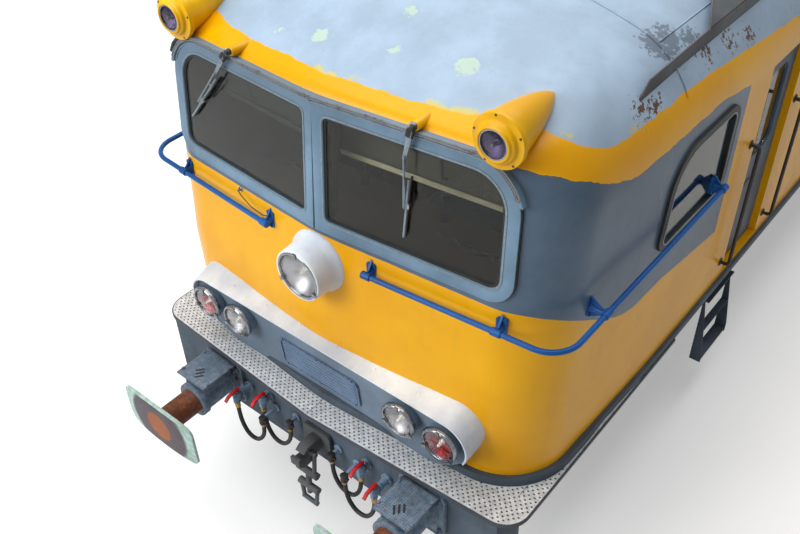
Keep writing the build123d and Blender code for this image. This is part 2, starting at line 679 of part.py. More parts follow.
def door_steps():
    """Ladder under the left cab door: two hangers on the sill's face and three treads."""
    middle = (DOOR_REAR_X + DOOR_FRONT_X) / 2
    low = STEP_LEVELS[0]
    shape = None
    for side in (-1, 1):
        x = middle + side * STEP_WIDTH / 2
        outline = [(0, SILL_BOTTOM_Z + 150), (12, SILL_BOTTOM_Z + 150), (12, SILL_BOTTOM_Z), (STEP_DEPTH * 0.6, low + 60),
                   (STEP_DEPTH * 0.6, low - 25), (0, low - 25)]
        hanger = Plane.YZ.offset(x - STEP_PLATE / 2) * (Pos(SILL_OUTER_Y, 0) * make_face(Polyline(*outline, close=True)))
        hanger = extrude(hanger, amount=STEP_PLATE)
        shape = hanger if shape is None else shape + hanger
    for z in STEP_LEVELS:
        depth = STEP_DEPTH * 0.6 * min(1.0, (SILL_BOTTOM_Z + 60 - z) / (SILL_BOTTOM_Z - low))
        shape += block(middle - STEP_WIDTH / 2, middle + STEP_WIDTH / 2, SILL_OUTER_Y, SILL_OUTER_Y + max(depth, 45),
                       z, z + STEP_PLATE)
    return shape


def underfloor_boxes():
    """Equipment cases and air tanks between the bogies."""
    boxes = []
    half = BOGIE_INNER_X - UNDERFLOOR_CLEARANCE
    tank_half = half - 80
    tank_y = 620
    for side in (-1, 1):
        low, high = sorted((side * (SILL_INNER_Y + 20), side * (SILL_OUTER_Y - 20)))
        case = block(-half, half, low, high, 480, SILL_BOTTOM_Z)
        boxes.append(fillet(case.edges().filter_by(Axis.X), 30))
        y = side * tank_y
        tank = bar((-tank_half, y, 860), (tank_half, y, 860), 190)
        for strap in (-1, 1):
            x = strap * tank_half * 0.67
            tank += block(x - 30, x + 30, y - 150, y + 150, 980, WALKWAY_TOP_Z)
        boxes.append(tank)
    return boxes


def walkway():
    """The step plate round one nose, from cab door to cab door."""
    front = WALKWAY_NOSE_X
    corner_x = front - WALKWAY_VEE * WALKWAY_HALF_WIDTH
    half = WALKWAY_HALF_WIDTH
    points = [(WALKWAY_END_X, half), (corner_x, half), (front, 0), (corner_x, -half), (WALKWAY_END_X, -half)]
    plan = make_face(Polyline(*points, close=True))
    corners = [v for v in plan.vertices() if abs(v.X - corner_x) < 1]
    plan = fillet(corners, WALKWAY_CORNER)
    plate = plan_prism(plan, WALKWAY_BOTTOM_Z, WALKWAY_TOP_Z)
    inner = block(
        WALKWAY_END_X - 10, HEADSTOCK_REAR_X, -SILL_OUTER_Y, SILL_OUTER_Y, WALKWAY_BOTTOM_Z - 1, WALKWAY_TOP_Z + 1
    )
    return plate - inner


# Ends

def buffer_plate():
    """Wide buffer plate: flat in the middle, domed towards its round-cornered edge."""
    back = BUFFER_FACE_X - BUFFER_PLATE_THICKNESS
    outline = Rectangle(BUFFER_PLATE_WIDTH, BUFFER_PLATE_HEIGHT)
    plate = front_prism(fillet(outline.vertices(), 60), back, BUFFER_FACE_X)
    reach = math.hypot(BUFFER_PLATE_WIDTH, BUFFER_PLATE_HEIGHT) / 2 + 20
    span = reach - BUFFER_FLAT_RADIUS
    fall = span ** 2 / (2 * BUFFER_DOME_RADIUS)
    edge = (BUFFER_FACE_X - fall, reach)
    start = (BUFFER_FACE_X, BUFFER_FLAT_RADIUS)
    middle = (BUFFER_FACE_X - fall / 4, BUFFER_FLAT_RADIUS + span / 2)
    rest = Polyline(start, (BUFFER_FACE_X, 0), (back - 1, 0), (back - 1, reach), edge)
    dome = revolve(make_face([rest, ThreePointArc(edge, middle, start)]), axis=Axis.X)
    return plate & dome


def buffer():
    """One buffer: flange, stepped housing, plunger, wide convex plate and tread plate."""
    start = HEADSTOCK_X
    shank_start = start + BUFFER_HOUSING_LENGTH
    plate_x = BUFFER_FACE_X - BUFFER_PLATE_THICKNESS
    flange = RectangleRounded(BUFFER_FLANGE, BUFFER_FLANGE, 30)
    shape = front_prism(flange, start, start + FLANGE_THICKNESS)
    radius = BUFFER_HOUSING_DIAMETER / 2
    shape += bar((start, 0, 0), (shank_start, 0, 0), radius)
    shape += bar((shank_start - 45, 0, 0), (shank_start, 0, 0), radius + 14)
    shape += bar((start, 0, 0), (start + 70, 0, 0), radius + 18)
    shape += bar((shank_start - 1, 0, 0), (plate_x + 1, 0, 0), BUFFER_PLUNGER_DIAMETER / 2)
    shape += buffer_plate()
    tread_z = radius + 60
    tread_x = start + FLANGE_THICKNESS + 5
    tread = block(tread_x, tread_x + TREAD_LENGTH, -TREAD_WIDTH / 2, TREAD_WIDTH / 2, tread_z, tread_z + 10)
    shape += tread
    for y in (-90, 90):
        shape += block(tread_x + 20, tread_x + TREAD_LENGTH - 30, y - 6, y + 6, 60, tread_z + 1)
    return shape


def coupling():
    """Draw hook with a screw coupling hanging from it, drawn at the headstock face."""
    hook_half = 38
    outline = [(0, -45), (0, 45), (70, 62), (150, 60), (190, 30), (165, 22), (120, 28), (100, 5), (130, -30), (205, -20)]
    outline += [(215, 10), (240, 10), (238, -55), (190, -95), (110, -90), (60, -55)]
    hook = side_prism(make_face(Polyline(*outline, close=True)), -hook_half, hook_half)
    guide = front_prism(RectangleRounded(240, 200, 30), 0, 30)
    hook += guide
    link_x = 118
    pin_z = -20
    hang = []
    for side in (-1, 1):
        y = side * 58
        hang.append(bar((link_x, y, pin_z), (link_x + 22, y, pin_z - 190), 15))
    hook += bar((link_x, -76, pin_z), (link_x, 76, pin_z), 17)
    for piece in hang:
        hook += piece
    nut_z = pin_z - 190
    hook += bar((link_x + 22, -88, nut_z), (link_x + 22, 88, nut_z), 26)
    hook += bar((link_x + 22, 0, nut_z), (link_x + 30, 0, nut_z - 215), 20)
    hook += bar((link_x + 28, -88, nut_z - 150), (link_x + 28, 88, nut_z - 150), 26)
    for side in (-1, 1):
        y = side * 74
        hook += bar((link_x + 28, y, nut_z - 150), (link_x + 34, y * 0.75, nut_z - 300), 15)
    hook += bar((link_x + 34, -68, nut_z - 300), (link_x + 34, 68, nut_z - 300), 17)
    return hook


# Brake pipe cocks: Y, Z, hose's plane ahead of the headstock, hose's sideways reach to its rest
COCKS = (
    (-650, 1105, 135, 250),
    (-450, 1150, 75, 250),
    (424, 1105, 75, -250),
    (588, 1085, 135, -250),
)
HOSE_START_DROP = 70
HOSE_LOOP_DROP = 330
HOSE_REST_DROP = 95


def cock(y, z, ahead, reach):
    """Angle cock on the headstock, with its handle, hose nipple and the rest for the hose's head."""
    plane_x = HEADSTOCK_X + ahead
    shape = bar((HEADSTOCK_X, y, z), (plane_x, y, z), 24)
    shape += bar((HEADSTOCK_X, y, z), (HEADSTOCK_X + 20, y, z), 42)
    shape += Pos(plane_x - 20, y, z) * Sphere(34)
    shape += bar((plane_x, y, z), (plane_x, y, z - HOSE_START_DROP), 22)
    shape += bar((plane_x - 20, y, z), (plane_x - 20, y, z + 52), 12)
    shape += block(plane_x - 34, plane_x + 96, y - 13, y + 13, z + 44, z + 56)
    rest_y = y + reach
    rest_z = z - HOSE_REST_DROP
    rest = bar((HEADSTOCK_X, rest_y, rest_z + 48), (plane_x, rest_y, rest_z + 48), 14)
    rest += bar((plane_x, rest_y, rest_z), (plane_x, rest_y, rest_z + 62), 26)
    rest += bar((HEADSTOCK_X, rest_y, rest_z + 48), (HEADSTOCK_X + 14, rest_y, rest_z + 48), 34)
    return [shape, rest]


def hose_route(y, z, ahead, reach):
    """Points of one hose, from the nipple down round its loop and up to its rest."""
    plane_x = HEADSTOCK_X + ahead
    half = reach / 2
    top = z - HOSE_START_DROP
    low = z - HOSE_LOOP_DROP
    rest = z - HOSE_REST_DROP
    return [
        (plane_x, y, top),
        (plane_x, y, top - 80),
        (plane_x + 7, y + reach * 0.09, low + 88),
        (plane_x + 12, y + half * 0.62, low + 14),
        (plane_x + 12, y + half * 1.30, low + 10),
        (plane_x + 8, y + reach * 0.90, low + 76),
        (plane_x, y + reach, rest - 78),
        (plane_x, y + reach, rest),
    ]


def bend_radii(points):
    """Radius at each inner point: 0.45 of the shorter run, over the tangent of half the turn."""
    radii = []
    for before, here, after in zip(points, points[1:], points[2:]):
        first = Vector(*here) - Vector(*before)
        second = Vector(*after) - Vector(*here)
        turn = math.radians(first.get_angle(second))
        radii.append(0.45 * min(first.length, second.length) / math.tan(turn / 2))
    return radii


def hose(points):
    """One hose as a tube of straight runs and tangent arcs."""
    radii = bend_radii(points)
    path = FilletPolyline(*points, radius=radii)
    start = Plane(origin=points[0], z_dir=Vector(*points[1]) - Vector(*points[0]))
    tube = sweep(start * Circle(HOSE_DIAMETER / 2), path=path)
    area = math.pi * HOSE_DIAMETER ** 2 / 4
    print("hose", round(path.length), "mm, least radius", round(min(radii)), "volume ratio",
          round(tube.volume / (area * path.length), 4))
    return tube


# Front lamps

def hood_outline(half, top_z, corner, foot_z=WALKWAY_TOP_Z):
    """Right half of the hood's front view, from the centre line to its rounded shoulder."""
    outline = make_face(Polyline((0, foot_z), (half, foot_z), (half, top_z), (0, top_z), close=True))
    shoulder = [v for v in outline.vertices() if abs(v.X - half) < 1 and abs(v.Y - top_z) < 1]
    return fillet(shoulder, corner)


def lamp_hood(body_form, plinth):
    """White hood over the lower lamps: flat front edge, running back onto the vee of the nose."""
    front = Plane.YZ.offset(HOOD_FRONT_X) * hood_outline(HOOD_HALF_WIDTH, HOOD_FRONT_TOP_Z, HOOD_CORNER)
    rear_plane = Plane(origin=(NOSE_X - 30, 0, 0), x_dir=(-NOSE_VEE, 1, 0), z_dir=(1, NOSE_VEE, 0))
    rear = rear_plane * hood_outline(HOOD_HALF_WIDTH + 60, HOOD_REAR_TOP_Z + 40, HOOD_CORNER + 60)
    half = loft([rear, front], ruled=True)
    hood = half + across(half)
    hood -= body_form
    hood -= plinth
    pocket_half = hood_outline(HOOD_HALF_WIDTH - HOOD_LIP, HOOD_FRONT_TOP_Z - HOOD_LIP, HOOD_CORNER - HOOD_LIP,
                               WALKWAY_TOP_Z - 50)
    pocket = front_prism(pocket_half, PANEL_FOOT_X - 200, HOOD_FRONT_X + 50)
    pocket += across(pocket)
    hood -= pocket & panel_front_space(-PANEL_THICKNESS)
    panel = pocket & panel_front_space(-PANEL_THICKNESS)
    panel -= panel_front_space(0)
    panel = panel & block(PANEL_FOOT_X - 400, HOOD_FRONT_X + 100, -HALF_WIDTH, HALF_WIDTH, WALKWAY_TOP_Z, 2500)
    panel -= body_form
    panel -= plinth
    return hood, panel


def panel_front_space(shift):
    """Everything ahead of the lamp panel's leaning face, moved along X."""
    foot = PANEL_FOOT_X + shift
    rise = 900
    outline = Polyline(
        (foot - PANEL_RAKE * 100, WALKWAY_TOP_Z - 100),
        (foot + PANEL_RAKE * rise, WALKWAY_TOP_Z + rise),
        (HOOD_FRONT_X + 450, WALKWAY_TOP_Z + rise),
        (HOOD_FRONT_X + 450, WALKWAY_TOP_Z - 100),
        close=True,
    )
    return side_prism(make_face(outline), -HALF_WIDTH - 115, HALF_WIDTH + 115)


def panel_face_x(z):
    """X of the lamp panel's face at a level."""
    return PANEL_FOOT_X + PANEL_RAKE * (z - WALKWAY_TOP_Z)


def grille():
    """Raised centre grille: a round-cornered rim and seven bars, on the leaning panel."""
    width = 620
    height = 250
    middle_z = WALKWAY_TOP_Z + 190
    face = Plane(
        origin=(panel_face_x(middle_z), 0, middle_z), x_dir=(0, 1, 0), z_dir=(1, 0, -PANEL_RAKE)
    )
    rim = RectangleRounded(width, height, 45) - RectangleRounded(width - 36, height - 36, 30)
    shape = extrude(face * rim, amount=12)
    bars = 7
    for index in range(bars):
        v = (index - (bars - 1) / 2) * (height - 36) / bars
        shape += extrude(face * (Pos(0, v) * Rectangle(width - 30, 15)), amount=9)
    return shape


LOWER_LAMPS = [side * (HOOD_HALF_WIDTH - margin) for side in (-1, 1) for margin in LOWER_LAMP_MARGINS]


def lamp_body(y):
    """Round lamp casing with its bezel, standing out of the leaning panel."""
    radius = LOWER_LAMP_DIAMETER / 2
    shell = bar((HOOD_FRONT_X - 180, y, LOWER_LAMP_Z), (LOWER_LAMP_X, y, LOWER_LAMP_Z), radius - 10)
    shell += bar((LOWER_LAMP_X - 25, y, LOWER_LAMP_Z), (LOWER_LAMP_X - 5, y, LOWER_LAMP_Z), radius)
    shell -= bar((LOWER_LAMP_X - 30, y, LOWER_LAMP_Z), (LOWER_LAMP_X + 5, y, LOWER_LAMP_Z), radius - 24)
    return shell & panel_front_space(0)


def lamp_lens(x, y, z, radius):
    """Slightly domed lens filling a bezel."""
    dome = 18
    depth = 20
    sphere_radius = (radius ** 2 + dome ** 2) / (2 * dome)
    half_turn = math.asin(radius / sphere_radius) / 2
    mid = (dome - sphere_radius * (1 - math.cos(half_turn)), sphere_radius * math.sin(half_turn))
    rim = Polyline((dome, 0), (-depth, 0), (-depth, radius), (0, radius))
    profile = make_face([rim, ThreePointArc((0, radius), mid, (dome, 0))])
    return Pos(x, y, z) * revolve(profile, axis=Axis.X)


def centre_lamp(body_form):
    """Big centre lamp: drum flaring out where it meets the nose."""
    front = CENTRE_LAMP_DIAMETER / 2
    flare_start = NOSE_X - 45
    root = NOSE_X - 185
    drum = Plane.YZ.offset(root) * Circle(front + 45)
    middle = Plane.YZ.offset(flare_start + 60) * Circle(front + 6)
    tip = Plane.YZ.offset(CENTRE_LAMP_X) * Circle(front)
    shape = loft([drum, middle], ruled=True) + loft([middle, tip], ruled=True)
    shape = Pos(0, 0, CENTRE_LAMP_Z) * shape
    shape -= bar((CENTRE_LAMP_X - 40, 0, CENTRE_LAMP_Z), (CENTRE_LAMP_X + 5, 0, CENTRE_LAMP_Z), front - 18)
    return shape - body_form


def marker_housing():
    """Teardrop housing of the high left marker lamp, tapering back into the roof."""
    radius = MARKER_DIAMETER / 2
    tip = Pos(MARKER_X - 45, MARKER_Y, MARKER_Z) * Rot(0, 90, 0)
    front = Plane(origin=(MARKER_X - 30, MARKER_Y, MARKER_Z), z_dir=(1, 0, 0)) * Circle(radius - 14)
    back = Plane(origin=(MARKER_TAIL_X, MARKER_Y - 25, MARKER_Z + 30), z_dir=(1, 0, 0)) * Circle(22)
    shape = loft([back, front], ruled=True)
    shape += tip * Cylinder(radius, 34)
    shape += bar((MARKER_X - 40, MARKER_Y, MARKER_Z), (MARKER_X, MARKER_Y, MARKER_Z), radius - 50)
    shape -= bar((MARKER_X - 35, MARKER_Y, MARKER_Z), (MARKER_X + 5, MARKER_Y, MARKER_Z), radius - 66)
    return shape


# Cab shell

def cab_shell(body_form):
    """Hollow cab and nose with its windows and doorways cut and its high lamp housings."""
    hollow = nose_solid(WALL, CAB_REAR_X - 100)
    housings = marker_housing()
    housings += across(housings)
    shell = body_form + housings - hollow
    screen = on_screen(screen_outline(GLASS_LAP), -400, 400)
    shell -= screen
    shell -= across(screen)
    window = side_prism(side_window_outline(GLASS_LAP), HALF_WIDTH - 400, HALF_WIDTH + 100)
    door = block(DOOR_REAR_X, DOOR_FRONT_X, HALF_WIDTH - 400, HALF_WIDTH + 100, DOOR_BOTTOM_Z, DOOR_TOP_Z)
    shell -= window
    shell -= across(window)
    shell -= door
    shell -= across(door)
    return shell


def screen_frame(body_form):
    """Broad frame round one windscreen, lying on the shell and over the edge of the glass, with its drip strip."""
    frame = on_screen(frame_outline() - screen_outline(0), -FRAME_DEPTH, FRAME_PROUD) - body_form
    frame += on_screen(drip_outline(), -FRAME_DEPTH, DRIP_PROUD) - body_form - marker_housing()
    return frame - on_screen(screen_outline(GLASS_LAP), -FRAME_DEPTH, 0)


def cab_side_frame(body_form):
    """Rubber frame round the cab side window, on the tapering side."""
    ring_outline = side_window_outline(26) - side_window_outline(0)
    return side_prism(ring_outline, HALF_WIDTH - 30, HALF_WIDTH + 8) - body_form


def side_opening(width, height, x, z):
    """A round-cornered opening in X and Z."""
    return Pos(x, z) * RectangleRounded(width, height, min(90, height / 4))


def louvre(x):
    """One louvred air inlet: flange on the wall and slats sloping down and out."""
    flange = side_opening(LOUVRE_WIDTH + 2 * LOUVRE_FLANGE, LOUVRE_HEIGHT + 2 * LOUVRE_FLANGE, x, LOUVRE_MID_Z)
    flange -= side_opening(LOUVRE_WIDTH - 2 * LOUVRE_FLANGE, LOUVRE_HEIGHT - 2 * LOUVRE_FLANGE, x, LOUVRE_MID_Z)
    shape = side_prism(flange, HALF_WIDTH, HALF_WIDTH + 10)
    clear_height = LOUVRE_HEIGHT - 2 * LOUVRE_FLANGE
    pitch = clear_height / LOUVRE_SLATS
    for index in range(LOUVRE_SLATS):
        z = LOUVRE_MID_Z - clear_height / 2 + (index + 0.5) * pitch
        width = LOUVRE_WIDTH - 2 * LOUVRE_FLANGE
        if index in (0, LOUVRE_SLATS - 1):
            width -= 60
        slat = Pos(x, HALF_WIDTH - 6, z) * Rot(40, 0, 0) * Box(width + 4, 52, 4)
        shape += slat
    spine = block(x - 8, x + 8, HALF_WIDTH - 24, HALF_WIDTH + 2, LOUVRE_MID_Z - clear_height / 2 - 4,
                  LOUVRE_MID_Z + clear_height / 2 + 4)
    return shape + spine


BAYS = [(index - (BAY_COUNT - 1) / 2) * BAY_PITCH for index in range(BAY_COUNT)]
PANES = (-2 * BAY_PITCH, 0, 2 * BAY_PITCH)


def side_wall():
    """Left machine room wall with its louvre and window openings."""
    wall = block(-CAB_REAR_X, CAB_REAR_X, HALF_WIDTH - WALL, HALF_WIDTH, FLOOR_TOP_Z, EAVE_Z)
    for x in BAYS:
        opening = side_opening(LOUVRE_WIDTH, LOUVRE_HEIGHT, x, LOUVRE_MID_Z)
        wall -= side_prism(opening, HALF_WIDTH - 2 * WALL, HALF_WIDTH + WALL)
    for x in PANES:
        opening = side_opening(SIDE_PANE, SIDE_PANE, x, LOUVRE_MID_Z)
        wall -= side_prism(opening, HALF_WIDTH - 2 * WALL, HALF_WIDTH + WALL)
    return wall


def roof_screen(body_form, roof_form):
    """Sheet fairing on the left roof edge: a low upright foot and a tall part leaning inwards."""
    foot_y = HALF_WIDTH - SCREEN_FOOT_SET_IN
    # the front end: distance behind the foot of the nose, level
    ends = [(1015, SCREEN_BEND_Z - 180), (1015, SCREEN_BEND_Z - 75), (1095, SCREEN_BEND_Z - 15), (1745, SCREEN_BEND_Z)]
    outline = [(NOSE_X - back, z) for back, z in ends]
    outline += [(-x, z) for x, z in reversed(outline)]
    foot = side_prism(make_face(Polyline(*outline, close=True)), foot_y, foot_y + SCREEN_SHEET)
    lean = Plane(origin=(0, foot_y, SCREEN_BEND_Z - 2), x_dir=(1, 0, 0), z_dir=(0, -0.72, -0.69))
    long_half = NOSE_X - 1765
    short_half = NOSE_X - 2185
    upper_points = ((-long_half, 0), (long_half, 0), (short_half, 300), (-short_half, 300))
    upper = extrude(lean * make_face(Polyline(*upper_points, close=True)), amount=-SCREEN_SHEET)
    shape = foot + upper
    return shape - body_form - other_end(body_form) - roof_form


# Handrail

def handrail(body_form):
    """Left handrail: from its end beside the centre lamp round the corner to the door."""
    front = front_at(RAIL_Z) + RAIL_STAND_OFF
    side_y = HALF_WIDTH + RAIL_STAND_OFF + 14
    corner_x = front - NOSE_VEE * side_y
    start = (front - NOSE_VEE * RAIL_INNER_Y, RAIL_INNER_Y, RAIL_Z)
    end = (RAIL_END_X, side_y, RAIL_Z)
    path = FilletPolyline(start, (corner_x, side_y, RAIL_Z), end, radius=RAIL_CORNER)
    seat = Plane(origin=start, z_dir=(-NOSE_VEE, 1, 0))
    radius = RAIL_DIAMETER / 2
    rail = sweep(seat * Circle(radius), path=path)
    # bracket: point on the rail, direction of its stub towards the body
    brackets = (
        ((start[0], RAIL_INNER_Y + 12), (-1, 0)),
        ((front - NOSE_VEE * 1193, 1193), (-1, 0)),
        ((NOSE_X - 545, side_y), (0, -1)),
        ((RAIL_END_X + 12, side_y), (0, -1)),
    )
    for (x, y), (dx, dy) in brackets:
        far = (x + dx * 110, y + dy * 110, RAIL_Z - 14)
        rail += bar((x, y, RAIL_Z), far, 13)
        pad_near = (x + dx * 52, y + dy * 52, RAIL_Z - 10)
        pad_far = (x + dx * 90, y + dy * 90, RAIL_Z - 10)
        rail += bar(pad_near, pad_far, 34)
    return rail - body_form


def grab_rails():
    """Upright grab rails beside the left cab door."""
    rails = []
    for x in (DOOR_REAR_X - 75, DOOR_FRONT_X + 75):
        y = HALF_WIDTH + 62
        rail = bar((x, y, 1560), (x, y, 2560), 14)
        for z in (1575, 2545):
            rail += bar((x, HALF_WIDTH, z), (x, y, z), 12)
            rail += bar((x, HALF_WIDTH, z), (x, HALF_WIDTH + 8, z), 28)
        rails.append(rail)
    return rails


def wiper(body_form):
    """Left wiper: boss on the brow, two thin rods and the blade on the glass."""
    face_x = NOSE_X - NOSE_RAKE * (WIPER_Z - RAKE_START_Z) - NOSE_VEE * WIPER_Y
    boss = bar((face_x - 100, WIPER_Y, WIPER_Z), (face_x + 48, WIPER_Y, WIPER_Z), 30)
    wiper_shape = boss - body_form
    top = (face_x + 44, WIPER_Y, WIPER_Z)
    foot = (face_x + 68, WIPER_Y - 7, 3060)
    wiper_shape += bar(top, foot, 7)
    wiper_shape += bar((top[0], top[1] + 26, top[2] - 60), (foot[0], foot[1] + 22, foot[2] + 20), 5)
    wiper_shape += bar((top[0], top[1] - 4, top[2] - 60), (top[0], top[1] + 32, top[2] - 60), 6)
    wiper_shape += bar((foot[0], foot[1] - 6, foot[2] + 16), (foot[0], foot[1] + 30, foot[2] + 16), 6)
    wiper_shape += bar((foot[0] - 14, foot[1], foot[2] + 190), (foot[0] + 6, foot[1] - 5, foot[2] - 190), 9)
    return wiper_shape


# Doors

def door_leaf():
    """Left cab door leaf, closed against the inside of the shell, with its window cut."""
    outer_y = HALF_WIDTH - WALL - SEAT_GAP
    leaf = block(
        DOOR_REAR_X - DOOR_LAP, DOOR_FRONT_X + DOOR_LAP, outer_y - DOOR_LEAF, outer_y,
        DOOR_BOTTOM_Z - DOOR_LAP, DOOR_TOP_Z + DOOR_LAP,
    )
    middle = (DOOR_REAR_X + DOOR_FRONT_X) / 2
    pane = side_opening(DOOR_WINDOW_WIDTH, DOOR_WINDOW_HEIGHT, middle, DOOR_WINDOW_MID_Z)
    leaf -= side_prism(pane, outer_y - 2 * DOOR_LEAF, outer_y + DOOR_LEAF)
    handle_x = DOOR_FRONT_X - 60
    leaf += bar((handle_x, outer_y - 1, 2150), (handle_x, outer_y + 34, 2150), 12)
    leaf += bar((handle_x + 4, outer_y + 32, 2150), (handle_x - 110, outer_y + 32, 2150), 10)
    axis_x, axis_y = hinge_axis()
    sweep_radius = DOOR_LEAF + 8
    for z in HINGE_LEVELS:
        for end in (-1, 1):
            near = z + end * (HINGE_HALF + 5)
            far = z + end * (HINGE_HALF + 95)
            leaf += bar((axis_x, axis_y, near), (axis_x, axis_y, far), HINGE_RADIUS)
        leaf -= bar((axis_x, axis_y, z - HINGE_HALF - 5), (axis_x, axis_y, z + HINGE_HALF + 5), sweep_radius)
        leaf -= bar((axis_x, axis_y, z - HINGE_HALF - 96), (axis_x, axis_y, z + HINGE_HALF + 96),
                    HINGE_PIN + PIN_GAP)
    return leaf


def hinge_axis():
    """X and Y of the door's hinge pins, on the rear inner edge of the leaf."""
    return DOOR_REAR_X - DOOR_LAP, HALF_WIDTH - WALL - SEAT_GAP - DOOR_LEAF


def door_hinges():
    """The body's knuckles of the left door, each with its pin and its pad on the shell."""
    axis_x, axis_y = hinge_axis()
    wall_y = HALF_WIDTH - WALL - SEAT_GAP
    pieces = []
    for z in HINGE_LEVELS:
        piece = bar((axis_x, axis_y, z - HINGE_HALF), (axis_x, axis_y, z + HINGE_HALF), HINGE_RADIUS)
        piece += bar((axis_x, axis_y, z - HINGE_HALF - 85), (axis_x, axis_y, z + HINGE_HALF + 85), HINGE_PIN)
        piece += block(axis_x - 50, axis_x, axis_y - 6, axis_y + 6, z - HINGE_HALF, z + HINGE_HALF)
        piece += block(axis_x - 62, axis_x - 44, axis_y - 6, wall_y, z - HINGE_HALF, z + HINGE_HALF)
        piece += block(axis_x - 130, axis_x - 44, wall_y - 8, wall_y, z - HINGE_HALF, z + HINGE_HALF)
        pieces.append(piece)
    return pieces


def door_glass():
    """Pane of the left cab door."""
    outer_y = HALF_WIDTH - WALL - SEAT_GAP
    middle = (DOOR_REAR_X + DOOR_FRONT_X) / 2
    pane = side_opening(DOOR_WINDOW_WIDTH - 0.4, DOOR_WINDOW_HEIGHT - 0.4, middle, DOOR_WINDOW_MID_Z)
    return side_prism(pane, outer_y - DOOR_LEAF / 2 - GLASS / 2, outer_y - DOOR_LEAF / 2 + GLASS / 2)


# Cab inside

def desk():
    """Driver's desk under the windscreens, its top sloping to the driver."""
    # distance behind the foot of the nose, level
    profile = [(925, FLOOR_TOP_Z), (925, 2180), (1045, 2220), (1055, 2290), (445, 2380), (225, 2380), (225, FLOOR_TOP_Z)]
    half = HALF_WIDTH - DESK_SIDE_MARGIN
    shape = side_prism(make_face(Polyline(*[(NOSE_X - back, z) for back, z in profile], close=True)), -half, half)
    knee = block(NOSE_X - 945, NOSE_X - 595, -half + 200, -300, FLOOR_TOP_Z - 20, 2160)
    shape -= knee
    shape -= across(knee)
    return shape


def seat_frame(y):
    """Pedestal and pan of one seat."""
    middle = NOSE_X - SEAT_SET_BACK
    shape = bar((middle, y, FLOOR_TOP_Z), (middle, y, SEAT_PAN_Z - 10), 55)
    shape += bar((middle, y, FLOOR_TOP_Z), (middle, y, FLOOR_TOP_Z + 20), 200)
    shape += block(middle - 220, middle + 220, y - 220, y + 220, SEAT_PAN_Z - 20, SEAT_PAN_Z)
    shape += block(middle - 260, middle - 235, y - 40, y + 40, SEAT_PAN_Z - 15, SEAT_PAN_Z + 400)
    shape += block(middle - 260, middle - 200, y - 40, y + 40, SEAT_PAN_Z - 15, SEAT_PAN_Z)
    return shape


def cushion(x0, x1, y0, y1, z0, z1, radius):
    """Plain round-edged cushion."""
    shape = block(x0, x1, y0, y1, z0, z1)
    return fillet(shape.edges(), radius)


def seat_cushions(y):
    """Seat and back cushion of one seat."""
    middle = NOSE_X - SEAT_SET_BACK
    seat = cushion(middle - 200, middle + 230, y - 225, y + 225, SEAT_PAN_Z + SEAT_GAP, SEAT_PAN_Z + 100, 30)
    back = cushion(middle - 235 + SEAT_GAP, middle - 150, y - 215, y + 215, SEAT_PAN_Z + 110, SEAT_PAN_Z + 570, 30)
    return [seat, back]


# Pantograph, folded, about its own middle; arm a reaches to +X

def base_frame():
    """Base on its insulators: two long beams, two cross beams and the shaft bearings."""
    beam_top = PANTO_PIVOT_Z - 60
    beam_bottom = beam_top - BASE_BEAM
    shapes = block(-BASE_HALF_LENGTH, BASE_HALF_LENGTH, BASE_HALF_WIDTH - 30, BASE_HALF_WIDTH + 30, beam_bottom, beam_top)
    shapes += across(shapes)
    for x in (-BASE_HALF_LENGTH + 30, BASE_HALF_LENGTH - 30):
        shapes += block(x - 30, x + 30, -BASE_HALF_WIDTH, BASE_HALF_WIDTH, beam_bottom, beam_top)
    for x in (-PANTO_PIVOT_X, PANTO_PIVOT_X):
        for side in (-1, 1):
            low, high = sorted((side * (BASE_HALF_WIDTH - 12), side * (BASE_HALF_WIDTH + 12)))
            lug = make_face(Polyline((x - 70, beam_top - 2), (x + 70, beam_top - 2), (x + 45, PANTO_PIVOT_Z + 20),
                                     (x - 45, PANTO_PIVOT_Z + 20), close=True))
            lug = lug + Pos(x, PANTO_PIVOT_Z) * Circle(SHAFT_RADIUS + 18)
            lug -= Pos(x, PANTO_PIVOT_Z) * Circle(SHAFT_RADIUS + PIN_GAP)
            shapes += side_prism(lug, low, high)
    for x in (-BASE_HALF_LENGTH + 30, BASE_HALF_LENGTH - 30):
        for y in (-BASE_HALF_WIDTH + 60, BASE_HALF_WIDTH - 60):
            shapes += bar((x, y, CROWN_Z - 80), (x, y, beam_bottom + 1), 45)
            for step in range(3):
                z = CROWN_Z + 4 + step * 36
                shapes += bar((x, y, z), (x, y, z + 14), 70)
    return shapes


def lower_arm():
    """Lower arm a: shaft in the base bearings, two tubes to the knee, one brace."""
    shape = bar((PANTO_PIVOT_X, -BASE_HALF_WIDTH - 25, PANTO_PIVOT_Z),
                (PANTO_PIVOT_X, BASE_HALF_WIDTH + 25, PANTO_PIVOT_Z), SHAFT_RADIUS)
    for side in (-1, 1):
        y = side * LOWER_TUBE_Y
        shape += bar((PANTO_PIVOT_X, y, PANTO_PIVOT_Z), (KNEE_X, y, KNEE_Z), LOWER_TUBE_RADIUS)
    shape += bar((KNEE_X, -LOWER_TUBE_Y - 20, KNEE_Z), (KNEE_X, LOWER_TUBE_Y + 20, KNEE_Z), KNEE_RADIUS)
    share = 0.8
    brace_end = (PANTO_PIVOT_X + share * (KNEE_X - PANTO_PIVOT_X), LOWER_TUBE_Y,
                 PANTO_PIVOT_Z + share * (KNEE_Z - PANTO_PIVOT_Z))
    shape += bar((PANTO_PIVOT_X, -LOWER_TUBE_Y, PANTO_PIVOT_Z), brace_end, BRACE_RADIUS)
    return shape


